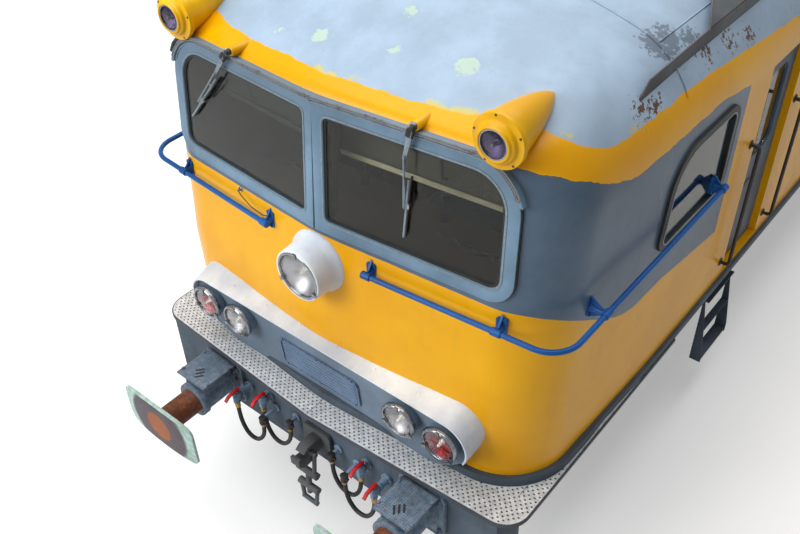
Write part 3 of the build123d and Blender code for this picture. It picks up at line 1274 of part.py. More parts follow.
def upper_arm(head_y, head_bore):
    """Upper arm a: eyes on the knee tube, tubes drawing together to the head, one brace."""
    shape = None
    for side in (-1, 1):
        knee = (KNEE_X, side * UPPER_TUBE_KNEE_Y, KNEE_Z)
        head = (0, side * head_y, HEAD_PIVOT_Z)
        tube = bar(knee, head, UPPER_TUBE_RADIUS)
        for (x, y, z), bore in ((knee, KNEE_RADIUS + PIN_GAP), (head, head_bore)):
            half = EYE_WIDTH / 2
            tube += bar((x, y - half, z), (x, y + half, z), bore + EYE_WALL)
            tube -= bar((x, y - half - 20, z), (x, y + half + 20, z), bore)
        shape = tube if shape is None else shape + tube
    points = []
    for share, side in ((0.28, -1), (0.93, 1)):
        y = side * (UPPER_TUBE_KNEE_Y + share * (head_y - UPPER_TUBE_KNEE_Y))
        points.append((KNEE_X * (1 - share), y, KNEE_Z + share * (HEAD_PIVOT_Z - KNEE_Z)))
    shape += bar(points[0], points[1], BRACE_RADIUS - 1)
    for share in (0.28, 0.93):
        y = UPPER_TUBE_KNEE_Y + share * (head_y - UPPER_TUBE_KNEE_Y)
        x = KNEE_X * (1 - share)
        z = KNEE_Z + share * (HEAD_PIVOT_Z - KNEE_Z)
        shape += bar((x, -y, z), (x, y, z), BRACE_RADIUS)
    return shape


def collector_head():
    """Head: pivot tube, two risers, two strips and horns turned down at the ends."""
    riser_y = UPPER_TUBE_HEAD_Y[0] + EYE_WIDTH / 2 + 30
    end_y = riser_y + 20
    shape = bar((0, -end_y, HEAD_PIVOT_Z), (0, end_y, HEAD_PIVOT_Z), KNEE_RADIUS)
    top = HEAD_PIVOT_Z + 80
    for side in (-1, 1):
        y = side * riser_y
        shape += bar((0, y, HEAD_PIVOT_Z), (0, y, top - 10), 12)
        shape += block(-150, 150, y - 15, y + 15, top - 20, top - 8)
    for x in (-130, 130):
        shape += block(x - 20, x + 20, -560, 560, top - 10, top + 12)
        for side in (-1, 1):
            path = FilletPolyline((x, side * 550, top), (x, side * 760, top - 8), (x, side * (HEAD_HALF_WIDTH - 12), top - 180),
                                  radius=120)
            seat = Plane(origin=(x, side * 550, top), z_dir=Vector(0, side * 210, -8))
            shape += sweep(seat * Circle(11), path=path)
    return shape


def roof_equipment():
    """Ventilator housing, resistor box and the busbar between the pantographs."""
    half = HOUSING_HALF_LENGTH
    side = HOUSING_HALF_WIDTH
    housing = block(-half, half, -side, side, CROWN_Z - 150, CROWN_Z + 150)
    housing = fillet(housing.edges().filter_by(Axis.X), 60)
    for index in range(-2, 3):
        x = index * HOUSING_VENT_PITCH
        vent = block(x - 190, x + 190, side - 10, side + 20, CROWN_Z + 10, CROWN_Z + 110)
        housing -= vent
        housing -= across(vent)
    switch_rear = half + SWITCH_GAP
    switch = block(switch_rear, switch_rear + SWITCH_LENGTH, -350, 350, CROWN_Z - 100, CROWN_Z + 120)
    switch = fillet(switch.edges().filter_by(Axis.Z), 60)
    return [housing, switch]


def main():
    """Build and write every node."""
    body_form = nose_solid()
    plinth = floor_plate()
    roof_form = front_prism(roof_profile(0), -CAB_REAR_X, CAB_REAR_X)
    roof_hollow = front_prism(roof_profile(ROOF_SHEET, EAVE_Z - 50), -CAB_REAR_X - 10, CAB_REAR_X + 10)

    shell = cab_shell(body_form)
    save("cab_shell_1", shell)
    save("cab_shell_2", other_end(shell))

    wall = side_wall()
    save("side_wall_left", wall)
    save("side_wall_right", across(wall))
    save("roof_centre", roof_form - roof_hollow)
    screen = roof_screen(body_form, roof_form)
    save("roof_screens", screen, across(screen))

    bulkhead = roof_profile(ROOF_SHEET, FLOOR_TOP_Z)
    bulkhead = front_prism(bulkhead, CAB_REAR_X - 60, CAB_REAR_X - 20)
    bulkhead &= block(CAB_REAR_X - 100, CAB_REAR_X + 100, -HALF_WIDTH + WALL, HALF_WIDTH - WALL, FLOOR_TOP_Z, CROWN_Z)
    knuckles = door_hinges()
    knuckles += [across(knuckle) for knuckle in knuckles]
    save("cab_bulkheads", bulkhead, other_end(bulkhead), *knuckles, *[other_end(knuckle) for knuckle in knuckles])

    frames = [screen_frame(body_form), cab_side_frame(body_form)]
    frames += [across(frame) for frame in frames]
    frames += [other_end(frame) for frame in frames]
    for x in PANES:
        rim = side_opening(SIDE_PANE + 50, SIDE_PANE + 50, x, LOUVRE_MID_Z)
        rim -= side_opening(SIDE_PANE - 2 * GLASS_LAP, SIDE_PANE - 2 * GLASS_LAP, x, LOUVRE_MID_Z)
        rim = side_prism(rim, HALF_WIDTH, HALF_WIDTH + 10)
        frames += [rim, across(rim)]
    save("window_frames", *frames)

    glass = [on_screen(screen_outline(GLASS_LAP - 1), -GLASS, 0)]
    taper_drop = SIDE_TAPER * (SIDE_WINDOW_FRONT_X + GLASS_LAP - TAPER_START_X)
    cab_pane = side_window_outline(GLASS_LAP - 1)
    glass += [side_prism(cab_pane, HALF_WIDTH - taper_drop - GLASS, HALF_WIDTH - taper_drop)]
    glass += [across(pane) for pane in glass]
    glass += [other_end(pane) for pane in glass]
    for x in PANES:
        pane = side_opening(SIDE_PANE - 1, SIDE_PANE - 1, x, LOUVRE_MID_Z)
        pane = side_prism(pane, HALF_WIDTH - GLASS, HALF_WIDTH)
        glass += [pane, across(pane)]
    save("window_glass", *glass)

    inlets = [louvre(x) for x in BAYS]
    save("side_louvres", *inlets, *[across(inlet) for inlet in inlets])

    hood, panel = lamp_hood(body_form, plinth)
    panel += grille()
    save("lamp_shrouds", hood, other_end(hood))
    save("lamp_panels", panel, other_end(panel))
    bodies = [lamp_body(y) for y in LOWER_LAMPS] + [centre_lamp(body_form)]
    save("lamp_bodies", *bodies, *[other_end(body) for body in bodies])
    lower_radius = LOWER_LAMP_DIAMETER / 2 - 24.5
    lenses = [lamp_lens(LOWER_LAMP_X - 4, y, LOWER_LAMP_Z, lower_radius) for y in LOWER_LAMPS]
    lenses.append(lamp_lens(CENTRE_LAMP_X - 14, 0, CENTRE_LAMP_Z, CENTRE_LAMP_DIAMETER / 2 - 18.5))
    marker_radius = MARKER_DIAMETER / 2 - 66.5
    for side in (-1, 1):
        lenses.append(lamp_lens(MARKER_X - 10, side * MARKER_Y, MARKER_Z, marker_radius))
    save("lamp_lenses", *lenses, *[other_end(lens) for lens in lenses])

    rail = handrail(body_form)
    rails = [rail, *grab_rails()]
    rails += [across(piece) for piece in rails]
    save("handrails", *rails, *[other_end(piece) for piece in rails])
    arm = wiper(body_form)
    wipers = [arm, across(arm)]
    save("wipers", *wipers, *[other_end(piece) for piece in wipers])

    save("underframe", underframe(plinth))
    plate = walkway()
    save("walkways", plate, other_end(plate))
    left_buffer = Pos(0, BUFFER_Y, BUFFER_Z) * buffer()
    buffers = [left_buffer, across(left_buffer)]
    save("buffers", *buffers, *[other_end(piece) for piece in buffers])
    hook = Pos(HEADSTOCK_X, 0, HOOK_Z) * coupling()
    save("couplings", hook, other_end(hook))
    cocks = []
    hoses = []
    for row in COCKS:
        cocks += cock(*row)
        hoses.append(hose(hose_route(*row)))
    save("brake_cocks", *cocks, *[other_end(piece) for piece in cocks])
    save("brake_hoses", *hoses, *[other_end(piece) for piece in hoses])

    furniture = [desk(), seat_frame(SEAT_Y), seat_frame(-SEAT_Y)]
    save("cab_furniture", *furniture, *[other_end(piece) for piece in furniture])
    cushions = seat_cushions(SEAT_Y) + seat_cushions(-SEAT_Y)
    save("seat_cushions", *cushions, *[other_end(piece) for piece in cushions])
    machinery_half = CAB_REAR_X - MACHINERY_SET_IN
    save("machinery_block", block(-machinery_half, machinery_half, -800, 800, FLOOR_TOP_Z, 3200))
    save("underfloor_boxes", *underfloor_boxes())
    steps = door_steps()
    steps = [steps, across(steps)]
    save("door_steps", *steps, *[other_end(piece) for piece in steps])

    for bogie in (1, 2):
        middle = axle_positions(bogie)[1]
        save(f"bogie_frame_{bogie}", Pos(middle, 0, 0) * bogie_frame())
        guard = guard_iron()
        guards = [guard, across(guard)] if bogie == 1 else [other_end(guard), other_end(across(guard))]
        save(f"bogie_gear_{bogie}", *[Pos(middle, 0, 0) * piece for piece in bogie_gear() + guards])
        save(f"traction_motors_{bogie}", *[Pos(middle, 0, 0) * piece for piece in traction_motors()])
        for index, x in enumerate(axle_positions(bogie)):
            number = (bogie - 1) * 3 + index + 1
            save(f"wheelset_{number}", Pos(x, 0, AXLE_Z) * wheelset())

    left_leaf = door_leaf()
    left_glass = door_glass()
    doors = (
        ("1_left", left_leaf, left_glass),
        ("1_right", across(left_leaf), across(left_glass)),
        ("2_left", other_end(across(left_leaf)), other_end(across(left_glass))),
        ("2_right", other_end(left_leaf), other_end(left_glass)),
    )
    for name, leaf, pane in doors:
        save(f"cab_door_{name}", leaf)
        save(f"door_glass_{name}", pane)

    housing, switch = roof_equipment()
    gear = []
    for x in (-PANTO_X, PANTO_X):
        gear.append(Pos(x, 0, 0) * base_frame() - roof_form)
    gear += [housing - roof_form, switch - roof_form]
    save("roof_gear", *gear)
    for number, x in ((1, PANTO_X), (2, -PANTO_X)):
        here = Pos(x, 0, 0)
        upper_a = upper_arm(UPPER_TUBE_HEAD_Y[0], KNEE_RADIUS + PIN_GAP)
        upper_b = upper_arm(UPPER_TUBE_HEAD_Y[1], KNEE_RADIUS + OPEN_PIVOT_GAP)
        save(f"panto_{number}_lower_a", here * lower_arm())
        save(f"panto_{number}_lower_b", here * other_end(lower_arm()))
        save(f"panto_{number}_upper_a", here * upper_a)
        save(f"panto_{number}_upper_b", here * other_end(upper_b))
        save(f"panto_{number}_head", here * collector_head())


main()
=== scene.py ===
"""The locomotive's looks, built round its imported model: body skin, paint, lamps, glass, trim and studio.

Metres, in the model's own frame: +X to cab 1, +Y to the locomotive's left, +Z up from the flanges' tips.
"""
import math

import bmesh
import bpy
from mathutils import Matrix, Vector
from mathutils.bvhtree import BVHTree
from mathutils.geometry import delaunay_2d_cdt


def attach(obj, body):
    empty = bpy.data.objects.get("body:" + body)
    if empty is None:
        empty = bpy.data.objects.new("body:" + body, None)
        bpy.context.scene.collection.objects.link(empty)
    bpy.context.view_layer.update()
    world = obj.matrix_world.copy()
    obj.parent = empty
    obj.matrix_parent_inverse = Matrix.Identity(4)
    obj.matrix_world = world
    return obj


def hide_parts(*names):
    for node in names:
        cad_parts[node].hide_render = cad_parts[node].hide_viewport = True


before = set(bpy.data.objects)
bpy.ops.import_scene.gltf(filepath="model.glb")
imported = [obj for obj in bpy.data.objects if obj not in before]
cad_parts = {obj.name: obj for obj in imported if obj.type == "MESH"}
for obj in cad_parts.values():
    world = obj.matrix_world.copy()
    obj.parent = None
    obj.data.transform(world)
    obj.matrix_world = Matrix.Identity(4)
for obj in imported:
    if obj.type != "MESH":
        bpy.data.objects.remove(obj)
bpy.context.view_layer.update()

# Body, as in the part's source
HALF_WIDTH = 1.485
CAB_REAR_X = 5.35
FLOOR_TOP_Z = 1.40
NOSE_X = 8.745
NOSE_VEE = 0.085
RAKE_START_Z = 2.03
NOSE_RAKE = 0.090
TAPER_START_X = 7.30
SIDE_TAPER = 0.030
EAVE_Z = 3.13
EAVE_RADIUS = 0.55
EAVE_TURN = math.radians(72)
WALL = 0.05
EAVE_CENTRE_Y = HALF_WIDTH - EAVE_RADIUS
EAVE_END_Y = EAVE_CENTRE_Y + EAVE_RADIUS * math.cos(EAVE_TURN)
CROWN_RADIUS = EAVE_END_Y / math.cos(EAVE_TURN)
CROWN_CENTRE_Z = EAVE_Z + EAVE_RADIUS * math.sin(EAVE_TURN) - CROWN_RADIUS * math.sin(EAVE_TURN)
CROWN_Z = CROWN_CENTRE_Z + CROWN_RADIUS
CROWN_START_X = 7.326
FRONT_CROWN_RADIUS = 2.55
BROW_ROUNDING = 0.13

# Windows
SCREEN_INNER_Y = 0.075
FRAME_WIDTH = 0.080
SCREEN_OUTER_Y = 1.158
SCREEN_BOTTOM_Z = 2.752
SCREEN_TOP_Z = 3.372
SCREEN_CORNERS = (0.035, 0.070, 0.190, 0.035)
SIDE_WINDOW = ((6.68, 2.465, 0.090), (7.47, 2.465, 0.070), (7.41, 3.035, 0.240), (6.68, 3.035, 0.090))
DOOR_REAR_X = 5.55
DOOR_FRONT_X = 6.15
DOOR_BOTTOM_Z = 1.44
DOOR_TOP_Z = 3.06

# Lamps, rails, buffers and walkway
LOWER_LAMPS = (-0.976, -0.681, 0.681, 0.976)
LOWER_LAMP_X, LOWER_LAMP_Z, LOWER_LAMP_RADIUS = 8.850, 1.685, 0.122
CENTRE_LAMP_X, CENTRE_LAMP_Z, CENTRE_LAMP_RADIUS = 8.868, 2.440, 0.165
MARKER_X, MARKER_Y, MARKER_Z = 8.610, 1.092, 3.581
RAIL_Z = 2.55
RAIL_FRONT_X, RAIL_SIDE_Y, RAIL_END_X = 8.758, 1.559, 6.790
RAIL_INNER_Y = 0.381
RAIL_CORNER = 0.18
BUFFER_Y, BUFFER_Z = 0.875, 1.085
HEADSTOCK_X = 8.850
WALKWAY_TOP_Z = 1.340
WALKWAY_NOSE_X, WALKWAY_VEE = 8.949, 0.060
WALKWAY_SIDE_Y, WALKWAY_END_X = 1.515, 6.890
WALKWAY_CORNER = 0.17

# Paints and other colours, as the eye sees them
YELLOW = (0.940, 0.690, 0.000)
YELLOW_DEEP = (0.905, 0.640, 0.000)
ROOF_BLUE = (0.62, 0.70, 0.78)
WINDOW_BAND = (0.31, 0.38, 0.45)
FRAME_BLUE = (0.42, 0.53, 0.62)
UNDERFRAME_BLUE = (0.29, 0.34, 0.39)
RAIL_BLUE = (0.05, 0.31, 0.58)
PRIMER_GREY = (0.72, 0.78, 0.78)
PRIMER_GREEN = (0.33, 0.47, 0.40)
DARK_CHIP = (0.16, 0.17, 0.18)
RUST = (0.38, 0.19, 0.09)


# Shader helpers

def linear(colour, alpha=1.0):
    """A colour as the eye sees it, 0 to 1, as the linear values that shaders take."""
    made = [c / 12.92 if c <= 0.04045 else ((c + 0.055) / 1.055) ** 2.4 for c in colour]
    return (*made, alpha)


def put(tree, kind, inputs=None, **settings):
    """Add a node; its settings come first, then each input is linked or set."""
    node = tree.nodes.new(kind)
    for name, value in settings.items():
        setattr(node, name, value)
    for key, value in (inputs or {}).items():
        if isinstance(value, bpy.types.NodeSocket):
            tree.links.new(value, node.inputs[key])
        else:
            node.inputs[key].default_value = value
    return node


def calc(tree, operation, first, second=0.0, third=0.0, clamp=False):
    """Result of a Math node."""
    node = put(tree, "ShaderNodeMath", {0: first, 1: second, 2: third}, operation=operation, use_clamp=clamp)
    return node.outputs[0]


def step_up(tree, value, low, high):
    """0 below low, 1 above high and a smooth step between."""
    inputs = {"Value": value, "From Min": low, "From Max": high}
    return put(tree, "ShaderNodeMapRange", inputs, interpolation_type="SMOOTHSTEP").outputs["Result"]


def shaded(colour, share):
    """A colour made darker or lighter by a share."""
    return tuple(c * share for c in colour)


def mix_colour(tree, share, first, second):
    """Two colours mixed by a share from 0 to 1."""
    node = put(tree, "ShaderNodeMix", data_type="RGBA")
    for index, value in ((0, share), (6, first), (7, second)):
        if isinstance(value, bpy.types.NodeSocket):
            tree.links.new(value, node.inputs[index])
        else:
            node.inputs[index].default_value = value if index == 0 else linear(value)
    return node.outputs[2]


def noise(tree, coordinate, scale, detail=4.0, roughness=0.55):
    """Fractal noise value, about 0.5 in the middle."""
    inputs = {"Vector": coordinate, "Scale": scale, "Detail": detail, "Roughness": roughness}
    return put(tree, "ShaderNodeTexNoise", inputs).outputs["Fac"]


def stretched(tree, coordinate, scale):
    """The coordinates scaled by a different amount along each axis."""
    return put(tree, "ShaderNodeVectorMath", {0: coordinate, 1: scale}, operation="MULTIPLY").outputs[0]


def new_group(name, inputs, outputs):
    """An empty node group with named sockets; returns it with its input and output nodes."""
    tree = bpy.data.node_groups.new(name, "ShaderNodeTree")
    for label, kind, default in inputs:
        socket = tree.interface.new_socket(label, in_out="INPUT", socket_type=kind)
        socket.default_value = default
    for label, kind in outputs:
        tree.interface.new_socket(label, in_out="OUTPUT", socket_type=kind)
    return tree, tree.nodes.new("NodeGroupInput").outputs, tree.nodes.new("NodeGroupOutput").inputs


FLOAT, COLOUR = "NodeSocketFloat", "NodeSocketColor"


def place_coordinates(tree):
    """The point's place in the piece, which is its place in the locomotive's frame."""
    return tree.nodes.new("ShaderNodeTexCoord").outputs["Object"]


def make_chips_group():
    """Chipped paint: scattered flakes and worn edges, as one mask."""
    tree, given, out = new_group(
        "paint chips",
        [("Amount", FLOAT, 0.3), ("Size", FLOAT, 6.0), ("Edge", FLOAT, 0.5), ("Edge Width", FLOAT, 0.006)],
        [("Mask", FLOAT)],
    )
    place = place_coordinates(tree)
    fine = noise(tree, place, calc(tree, "MULTIPLY", given["Size"], 6.0), 6.0, 0.65)
    coarse = noise(tree, place, given["Size"], 3.0, 0.5)
    patches = calc(tree, "ADD", calc(tree, "MULTIPLY", coarse, 0.6), calc(tree, "MULTIPLY", fine, 0.4))
    threshold = calc(tree, "SUBTRACT", 0.78, calc(tree, "MULTIPLY", given["Amount"], 0.28))
    flakes = step_up(tree, patches, threshold, calc(tree, "ADD", threshold, 0.015))
    rounded = put(tree, "ShaderNodeBevel", {"Radius": given["Edge Width"]}, samples=4).outputs["Normal"]
    flat = put(tree, "ShaderNodeNewGeometry").outputs["Normal"]
    same = put(tree, "ShaderNodeVectorMath", {0: rounded, 1: flat}, operation="DOT_PRODUCT").outputs["Value"]
    edge = calc(tree, "MULTIPLY", calc(tree, "SUBTRACT", 1.0, same), 6.0, clamp=True)
    edge = calc(tree, "MULTIPLY", edge, given["Edge"])
    worn = step_up(tree, calc(tree, "ADD", edge, calc(tree, "SUBTRACT", fine, 0.5)), 0.34, 0.40)
    tree.links.new(calc(tree, "MAXIMUM", flakes, worn), out["Mask"])
    return tree


def make_grime_and_shade_group():
    """Dust and soiling as soft blotches and runs down the sides, with painted shade: darkening in corners and
    crevices from ambient occlusion.
    """
    tree, given, out = new_group(
        "grime_and_shade",
        [("Amount", FLOAT, 0.3), ("Runs", FLOAT, 0.3), ("Size", FLOAT, 3.0)],
        [("Mask", FLOAT)],
    )
    place = place_coordinates(tree)
    blotch = step_up(tree, noise(tree, place, given["Size"], 7.0, 0.62), 0.42, 0.78)
    runs = noise(tree, stretched(tree, place, (9.0, 9.0, 0.55)), given["Size"], 5.0, 0.6)
    runs = calc(tree, "MULTIPLY", step_up(tree, runs, 0.52, 0.80), given["Runs"])
    # ambient occlusion darkens corners and crevices: painted shade where light is shut out
    corner = put(tree, "ShaderNodeAmbientOcclusion", {"Distance": 0.06}, samples=4).outputs["AO"]
    corner = calc(tree, "MULTIPLY", step_up(tree, calc(tree, "SUBTRACT", 1.0, corner), 0.25, 0.85), 0.7)
    total = calc(tree, "ADD", calc(tree, "MULTIPLY", blotch, given["Amount"]), runs)
    total = calc(tree, "ADD", total, calc(tree, "MULTIPLY", corner, given["Amount"]), clamp=True)
    tree.links.new(total, out["Mask"])
    return tree


def make_rust_group():
    """Rust: orange to dark brown crust with its own roughness and height."""
    tree, given, out = new_group(
        "rust", [("Scale", FLOAT, 40.0)], [("Color", COLOUR), ("Roughness", FLOAT), ("Height", FLOAT)]
    )
    place = place_coordinates(tree)
    crust = noise(tree, place, given["Scale"], 8.0, 0.68)
    broad = noise(tree, place, calc(tree, "MULTIPLY", given["Scale"], 0.2), 3.0)
    colour = mix_colour(tree, step_up(tree, crust, 0.35, 0.7), (0.24, 0.12, 0.07), (0.58, 0.30, 0.13))
    colour = mix_colour(tree, step_up(tree, broad, 0.45, 0.65), colour, (0.40, 0.22, 0.13))
    tree.links.new(colour, out["Color"])
    tree.links.new(calc(tree, "MULTIPLY_ADD", crust, 0.2, 0.72), out["Roughness"])
    tree.links.new(crust, out["Height"])
    return tree


def make_brushwork_group():
    """Hand-brushed enamel: faint strokes, orange peel and shade differences."""
    tree, given, out = new_group(
        "brushed enamel", [("Scale", FLOAT, 1.0)], [("Shade", FLOAT), ("Height", FLOAT)]
    )
    place = place_coordinates(tree)
    strokes = noise(tree, stretched(tree, place, (6.0, 6.0, 60.0)), given["Scale"], 3.0)
    peel = noise(tree, place, calc(tree, "MULTIPLY", given["Scale"], 160.0), 2.0)
    broad = noise(tree, place, calc(tree, "MULTIPLY", given["Scale"], 1.3), 5.0, 0.6)
    tree.links.new(broad, out["Shade"])
    tree.links.new(calc(tree, "MULTIPLY_ADD", strokes, 0.6, calc(tree, "MULTIPLY", peel, 0.4)), out["Height"])
    return tree


CHIPS = make_chips_group()
GRIME_AND_SHADE = make_grime_and_shade_group()
RUSTED = make_rust_group()
BRUSHWORK = make_brushwork_group()


def use(tree, group, **values):
    """Place a node group and set its inputs; an underscore in a name stands for a space."""
    node = put(tree, "ShaderNodeGroup", node_tree=group)
    for name, value in values.items():
        node.inputs[name.replace("_", " ")].default_value = value
    return node.outputs


def new_material(name):
    """A material with its Principled BSDF; returns the material, its tree and the shader."""
    material = bpy.data.materials.new(name)
    material.use_nodes = True
    shader = material.node_tree.nodes["Principled BSDF"]
    return material, material.node_tree, shader


def feed(tree, shader, colour=None, roughness=None, metallic=None, height=None, depth=0.001, strength=0.5):
    """Link worked-out values to the shader, the height through a bump."""
    if colour is not None:
        tree.links.new(colour, shader.inputs["Base Color"])
    if roughness is not None:
        tree.links.new(roughness, shader.inputs["Roughness"])
    if metallic is not None:
        tree.links.new(metallic, shader.inputs["Metallic"])
    if height is not None:
        bump = put(tree, "ShaderNodeBump", {"Height": height, "Distance": depth, "Strength": strength})
        tree.links.new(bump.outputs["Normal"], shader.inputs["Normal"])


def painted(name, paint, under=DARK_CHIP, chips=0.25, chip_size=6.0, edge=0.5, grime_and_shade=0.3, runs=0.2,
            gloss=0.35, dirt_and_shade=(0.20, 0.19, 0.17), faded=None):
    """Enamel on metal, with shade differences, chips down to the coat beneath, and soiling with painted shade
    in crevices.
    """
    material, tree, shader = new_material(name)
    brush = use(tree, BRUSHWORK)
    faded = faded or tuple(min(1.0, c * 1.12 + 0.02) for c in paint)
    darker = shaded(paint, 0.90)
    colour = mix_colour(tree, step_up(tree, brush["Shade"], 0.35, 0.70), darker, faded)
    bare = use(tree, CHIPS, Amount=chips, Size=chip_size, Edge=edge)["Mask"]
    colour = mix_colour(tree, bare, colour, under)
    dirt_and_shade_mask = use(tree, GRIME_AND_SHADE, Amount=grime_and_shade, Runs=runs)["Mask"]
    colour = mix_colour(tree, dirt_and_shade_mask, colour, dirt_and_shade)
    rough = calc(tree, "MULTIPLY_ADD", brush["Shade"], 0.12, gloss)
    rough = calc(tree, "ADD", rough, calc(tree, "MULTIPLY", dirt_and_shade_mask, 0.35))
    rough = calc(tree, "ADD", rough, calc(tree, "MULTIPLY", bare, 0.25), clamp=True)
    height = calc(tree, "SUBTRACT", brush["Height"], calc(tree, "MULTIPLY", bare, 1.2))
    shader.inputs["Specular IOR Level"].default_value = 0.25
    feed(tree, shader, colour, rough, height=height, depth=0.0006, strength=0.35)
    return material


def steel(name, colour, roughness=0.35, grime_and_shade=0.4, rust=0.1, scale=30.0, metal=1.0):
    """Bare metal with scratches, soiling with painted shade in crevices, and rust blooms."""
    material, tree, shader = new_material(name)
    place = place_coordinates(tree)
    grain = noise(tree, place, scale, 6.0, 0.6)
    shade = mix_colour(tree, step_up(tree, grain, 0.3, 0.7), shaded(colour, 0.82), colour)
    rusty = use(tree, RUSTED)
    bloom = use(tree, CHIPS, Amount=rust, Size=4.0, Edge=0.3 * rust)["Mask"]
    shade = mix_colour(tree, bloom, shade, rusty["Color"])
    dirt_and_shade_mask = use(tree, GRIME_AND_SHADE, Amount=grime_and_shade, Runs=0.1)["Mask"]
    shade = mix_colour(tree, dirt_and_shade_mask, shade, (0.13, 0.12, 0.11))
    rough = calc(tree, "MULTIPLY_ADD", grain, 0.25, roughness - 0.1)
    rough = calc(tree, "ADD", rough, calc(tree, "MULTIPLY", calc(tree, "MAXIMUM", dirt_and_shade_mask, bloom), 0.4),
                 clamp=True)
    metallic = calc(tree, "MULTIPLY", metal, calc(tree, "SUBTRACT", 1.0, calc(tree, "MAXIMUM", dirt_and_shade_mask, bloom)))
    feed(tree, shader, shade, rough, metallic, grain, 0.0008, 0.4)
    return material


def plain_noise(name, colour, roughness, scale, depth, spread=0.2, metallic=0.0):
    """Rubber, plastic, porcelain and the like: small shade and surface differences and a little dust, with
    painted shade in crevices.
    """
    material, tree, shader = new_material(name)
    place = place_coordinates(tree)
    grain = noise(tree, place, scale, 5.0)
    shade = mix_colour(tree, step_up(tree, grain, 0.3, 0.7), shaded(colour, 1 - spread), colour)
    dust_and_shade_mask = use(tree, GRIME_AND_SHADE, Amount=0.25, Runs=0.0)["Mask"]
    shade = mix_colour(tree, dust_and_shade_mask, shade, (0.36, 0.34, 0.31))
    rough = calc(tree, "MULTIPLY_ADD", grain, 0.15, roughness)
    rough = calc(tree, "ADD", rough, calc(tree, "MULTIPLY", dust_and_shade_mask, 0.2), clamp=True)
    shader.inputs["Metallic"].default_value = metallic
    feed(tree, shader, shade, rough, height=grain, depth=depth, strength=0.5)
    return material


def clear_glass(name, colour, roughness=0.02, ribs=0.0, dust=0.1, bend=1.45):
    """Glass with a film of dust; ribs gives a lamp lens its flutes."""
    material, tree, shader = new_material(name)
    place = place_coordinates(tree)
    film = step_up(tree, noise(tree, place, 2.2, 7.0, 0.65), 0.40, 0.85)
    rough = calc(tree, "MULTIPLY_ADD", film, dust, roughness)
    shader.inputs["Base Color"].default_value = linear(colour)
    shader.inputs["Transmission Weight"].default_value = 1.0
    shader.inputs["IOR"].default_value = bend
    height = film
    if ribs:
        wave = put(tree, "ShaderNodeTexWave", {"Vector": place, "Scale": ribs}, bands_direction="Y")
        height = wave.outputs["Fac"]
    feed(tree, shader, roughness=rough, height=height, depth=0.001 if ribs else 0.0001, strength=0.4
         if ribs else 0.05)
    open_to_light = put(tree, "ShaderNodeBsdfTransparent", {"Color": linear(colour)})
    light = put(tree, "ShaderNodeLightPath").outputs
    both = put(tree, "ShaderNodeMixShader", {0: light["Is Shadow Ray"], 1: shader.outputs[0],
                                             2: open_to_light.outputs[0]})
    tree.links.new(both.outputs[0], tree.nodes["Material Output"].inputs["Surface"])
    return material


# Finishes

# spots of the cab roof: place and size of primer chips, dark scuffs and rusty flakes
PRIMER_SPOTS = ((8.325, -0.204, 3.620, 0.045), (8.204, 0.655, 3.654, 0.060), (8.002, 0.154, 3.735, 0.040),
                (8.263, 0.253, 3.644, 0.025), (8.366, -0.463, 3.592, 0.022))
SCUFF_SPOTS = ((7.367, 1.217, 3.600, 0.075), (7.244, 1.241, 3.586, 0.085), (7.106, 1.292, 3.547, 0.060),
               (7.324, 1.274, 3.561, 0.070), (7.860, -0.300, 3.740, 0.035))
RUST_SPOTS = ((7.759, 1.364, 3.456, 0.024), (7.635, 1.383, 3.434, 0.030), (7.725, 1.396, 3.408, 0.022),
              (7.036, 1.357, 3.482, 0.040), (6.769, 1.386, 3.445, 0.034), (6.545, 1.415, 3.397, 0.030))


def patches(tree, place, spots, rough_edge, spread):
    """Mask of ragged patches round the places given."""
    mask = 0.0
    for x, y, z, size in spots:
        away = put(tree, "ShaderNodeVectorMath", {0: place, 1: (x, y, z)},
                   operation="DISTANCE").outputs["Value"]
        near = calc(tree, "MULTIPLY_ADD", rough_edge, spread, calc(tree, "SUBTRACT", size, away))
        mask = calc(tree, "MAXIMUM", step_up(tree, near, 0.0, 0.004), mask)
    return mask


# lower and upper edge of the slate band: level at the side window, rise to the front between two places,
# and the place behind which it falls away aft, with its slope there
BAND_LOW_Z, BAND_LOW_RISE, BAND_LOW_RISE_X = 2.16, 0.485, (7.60, 8.66)
BAND_LOW_FALL_X, BAND_LOW_FALL = 7.33, -0.17
BAND_HIGH_Z, BAND_HIGH_RISE, BAND_HIGH_RISE_X = 3.18, 0.30, (7.80, 8.75)
BAND_HIGH_FALL_X, BAND_HIGH_FALL = 6.95, -0.18
BAND_REAR_X = 6.52
# edge of the pale roof: its front line and vee, its side line and the slope aft, and the round between them
ROOF_FRONT_X, ROOF_SIDE_Z = 8.508, 3.39
ROOF_FALL_X, ROOF_FALL = 7.20, 0.08
ROOF_SIDE_Y, ROOF_ROUND = 1.0, 0.72
SOFT_EDGE = 0.001


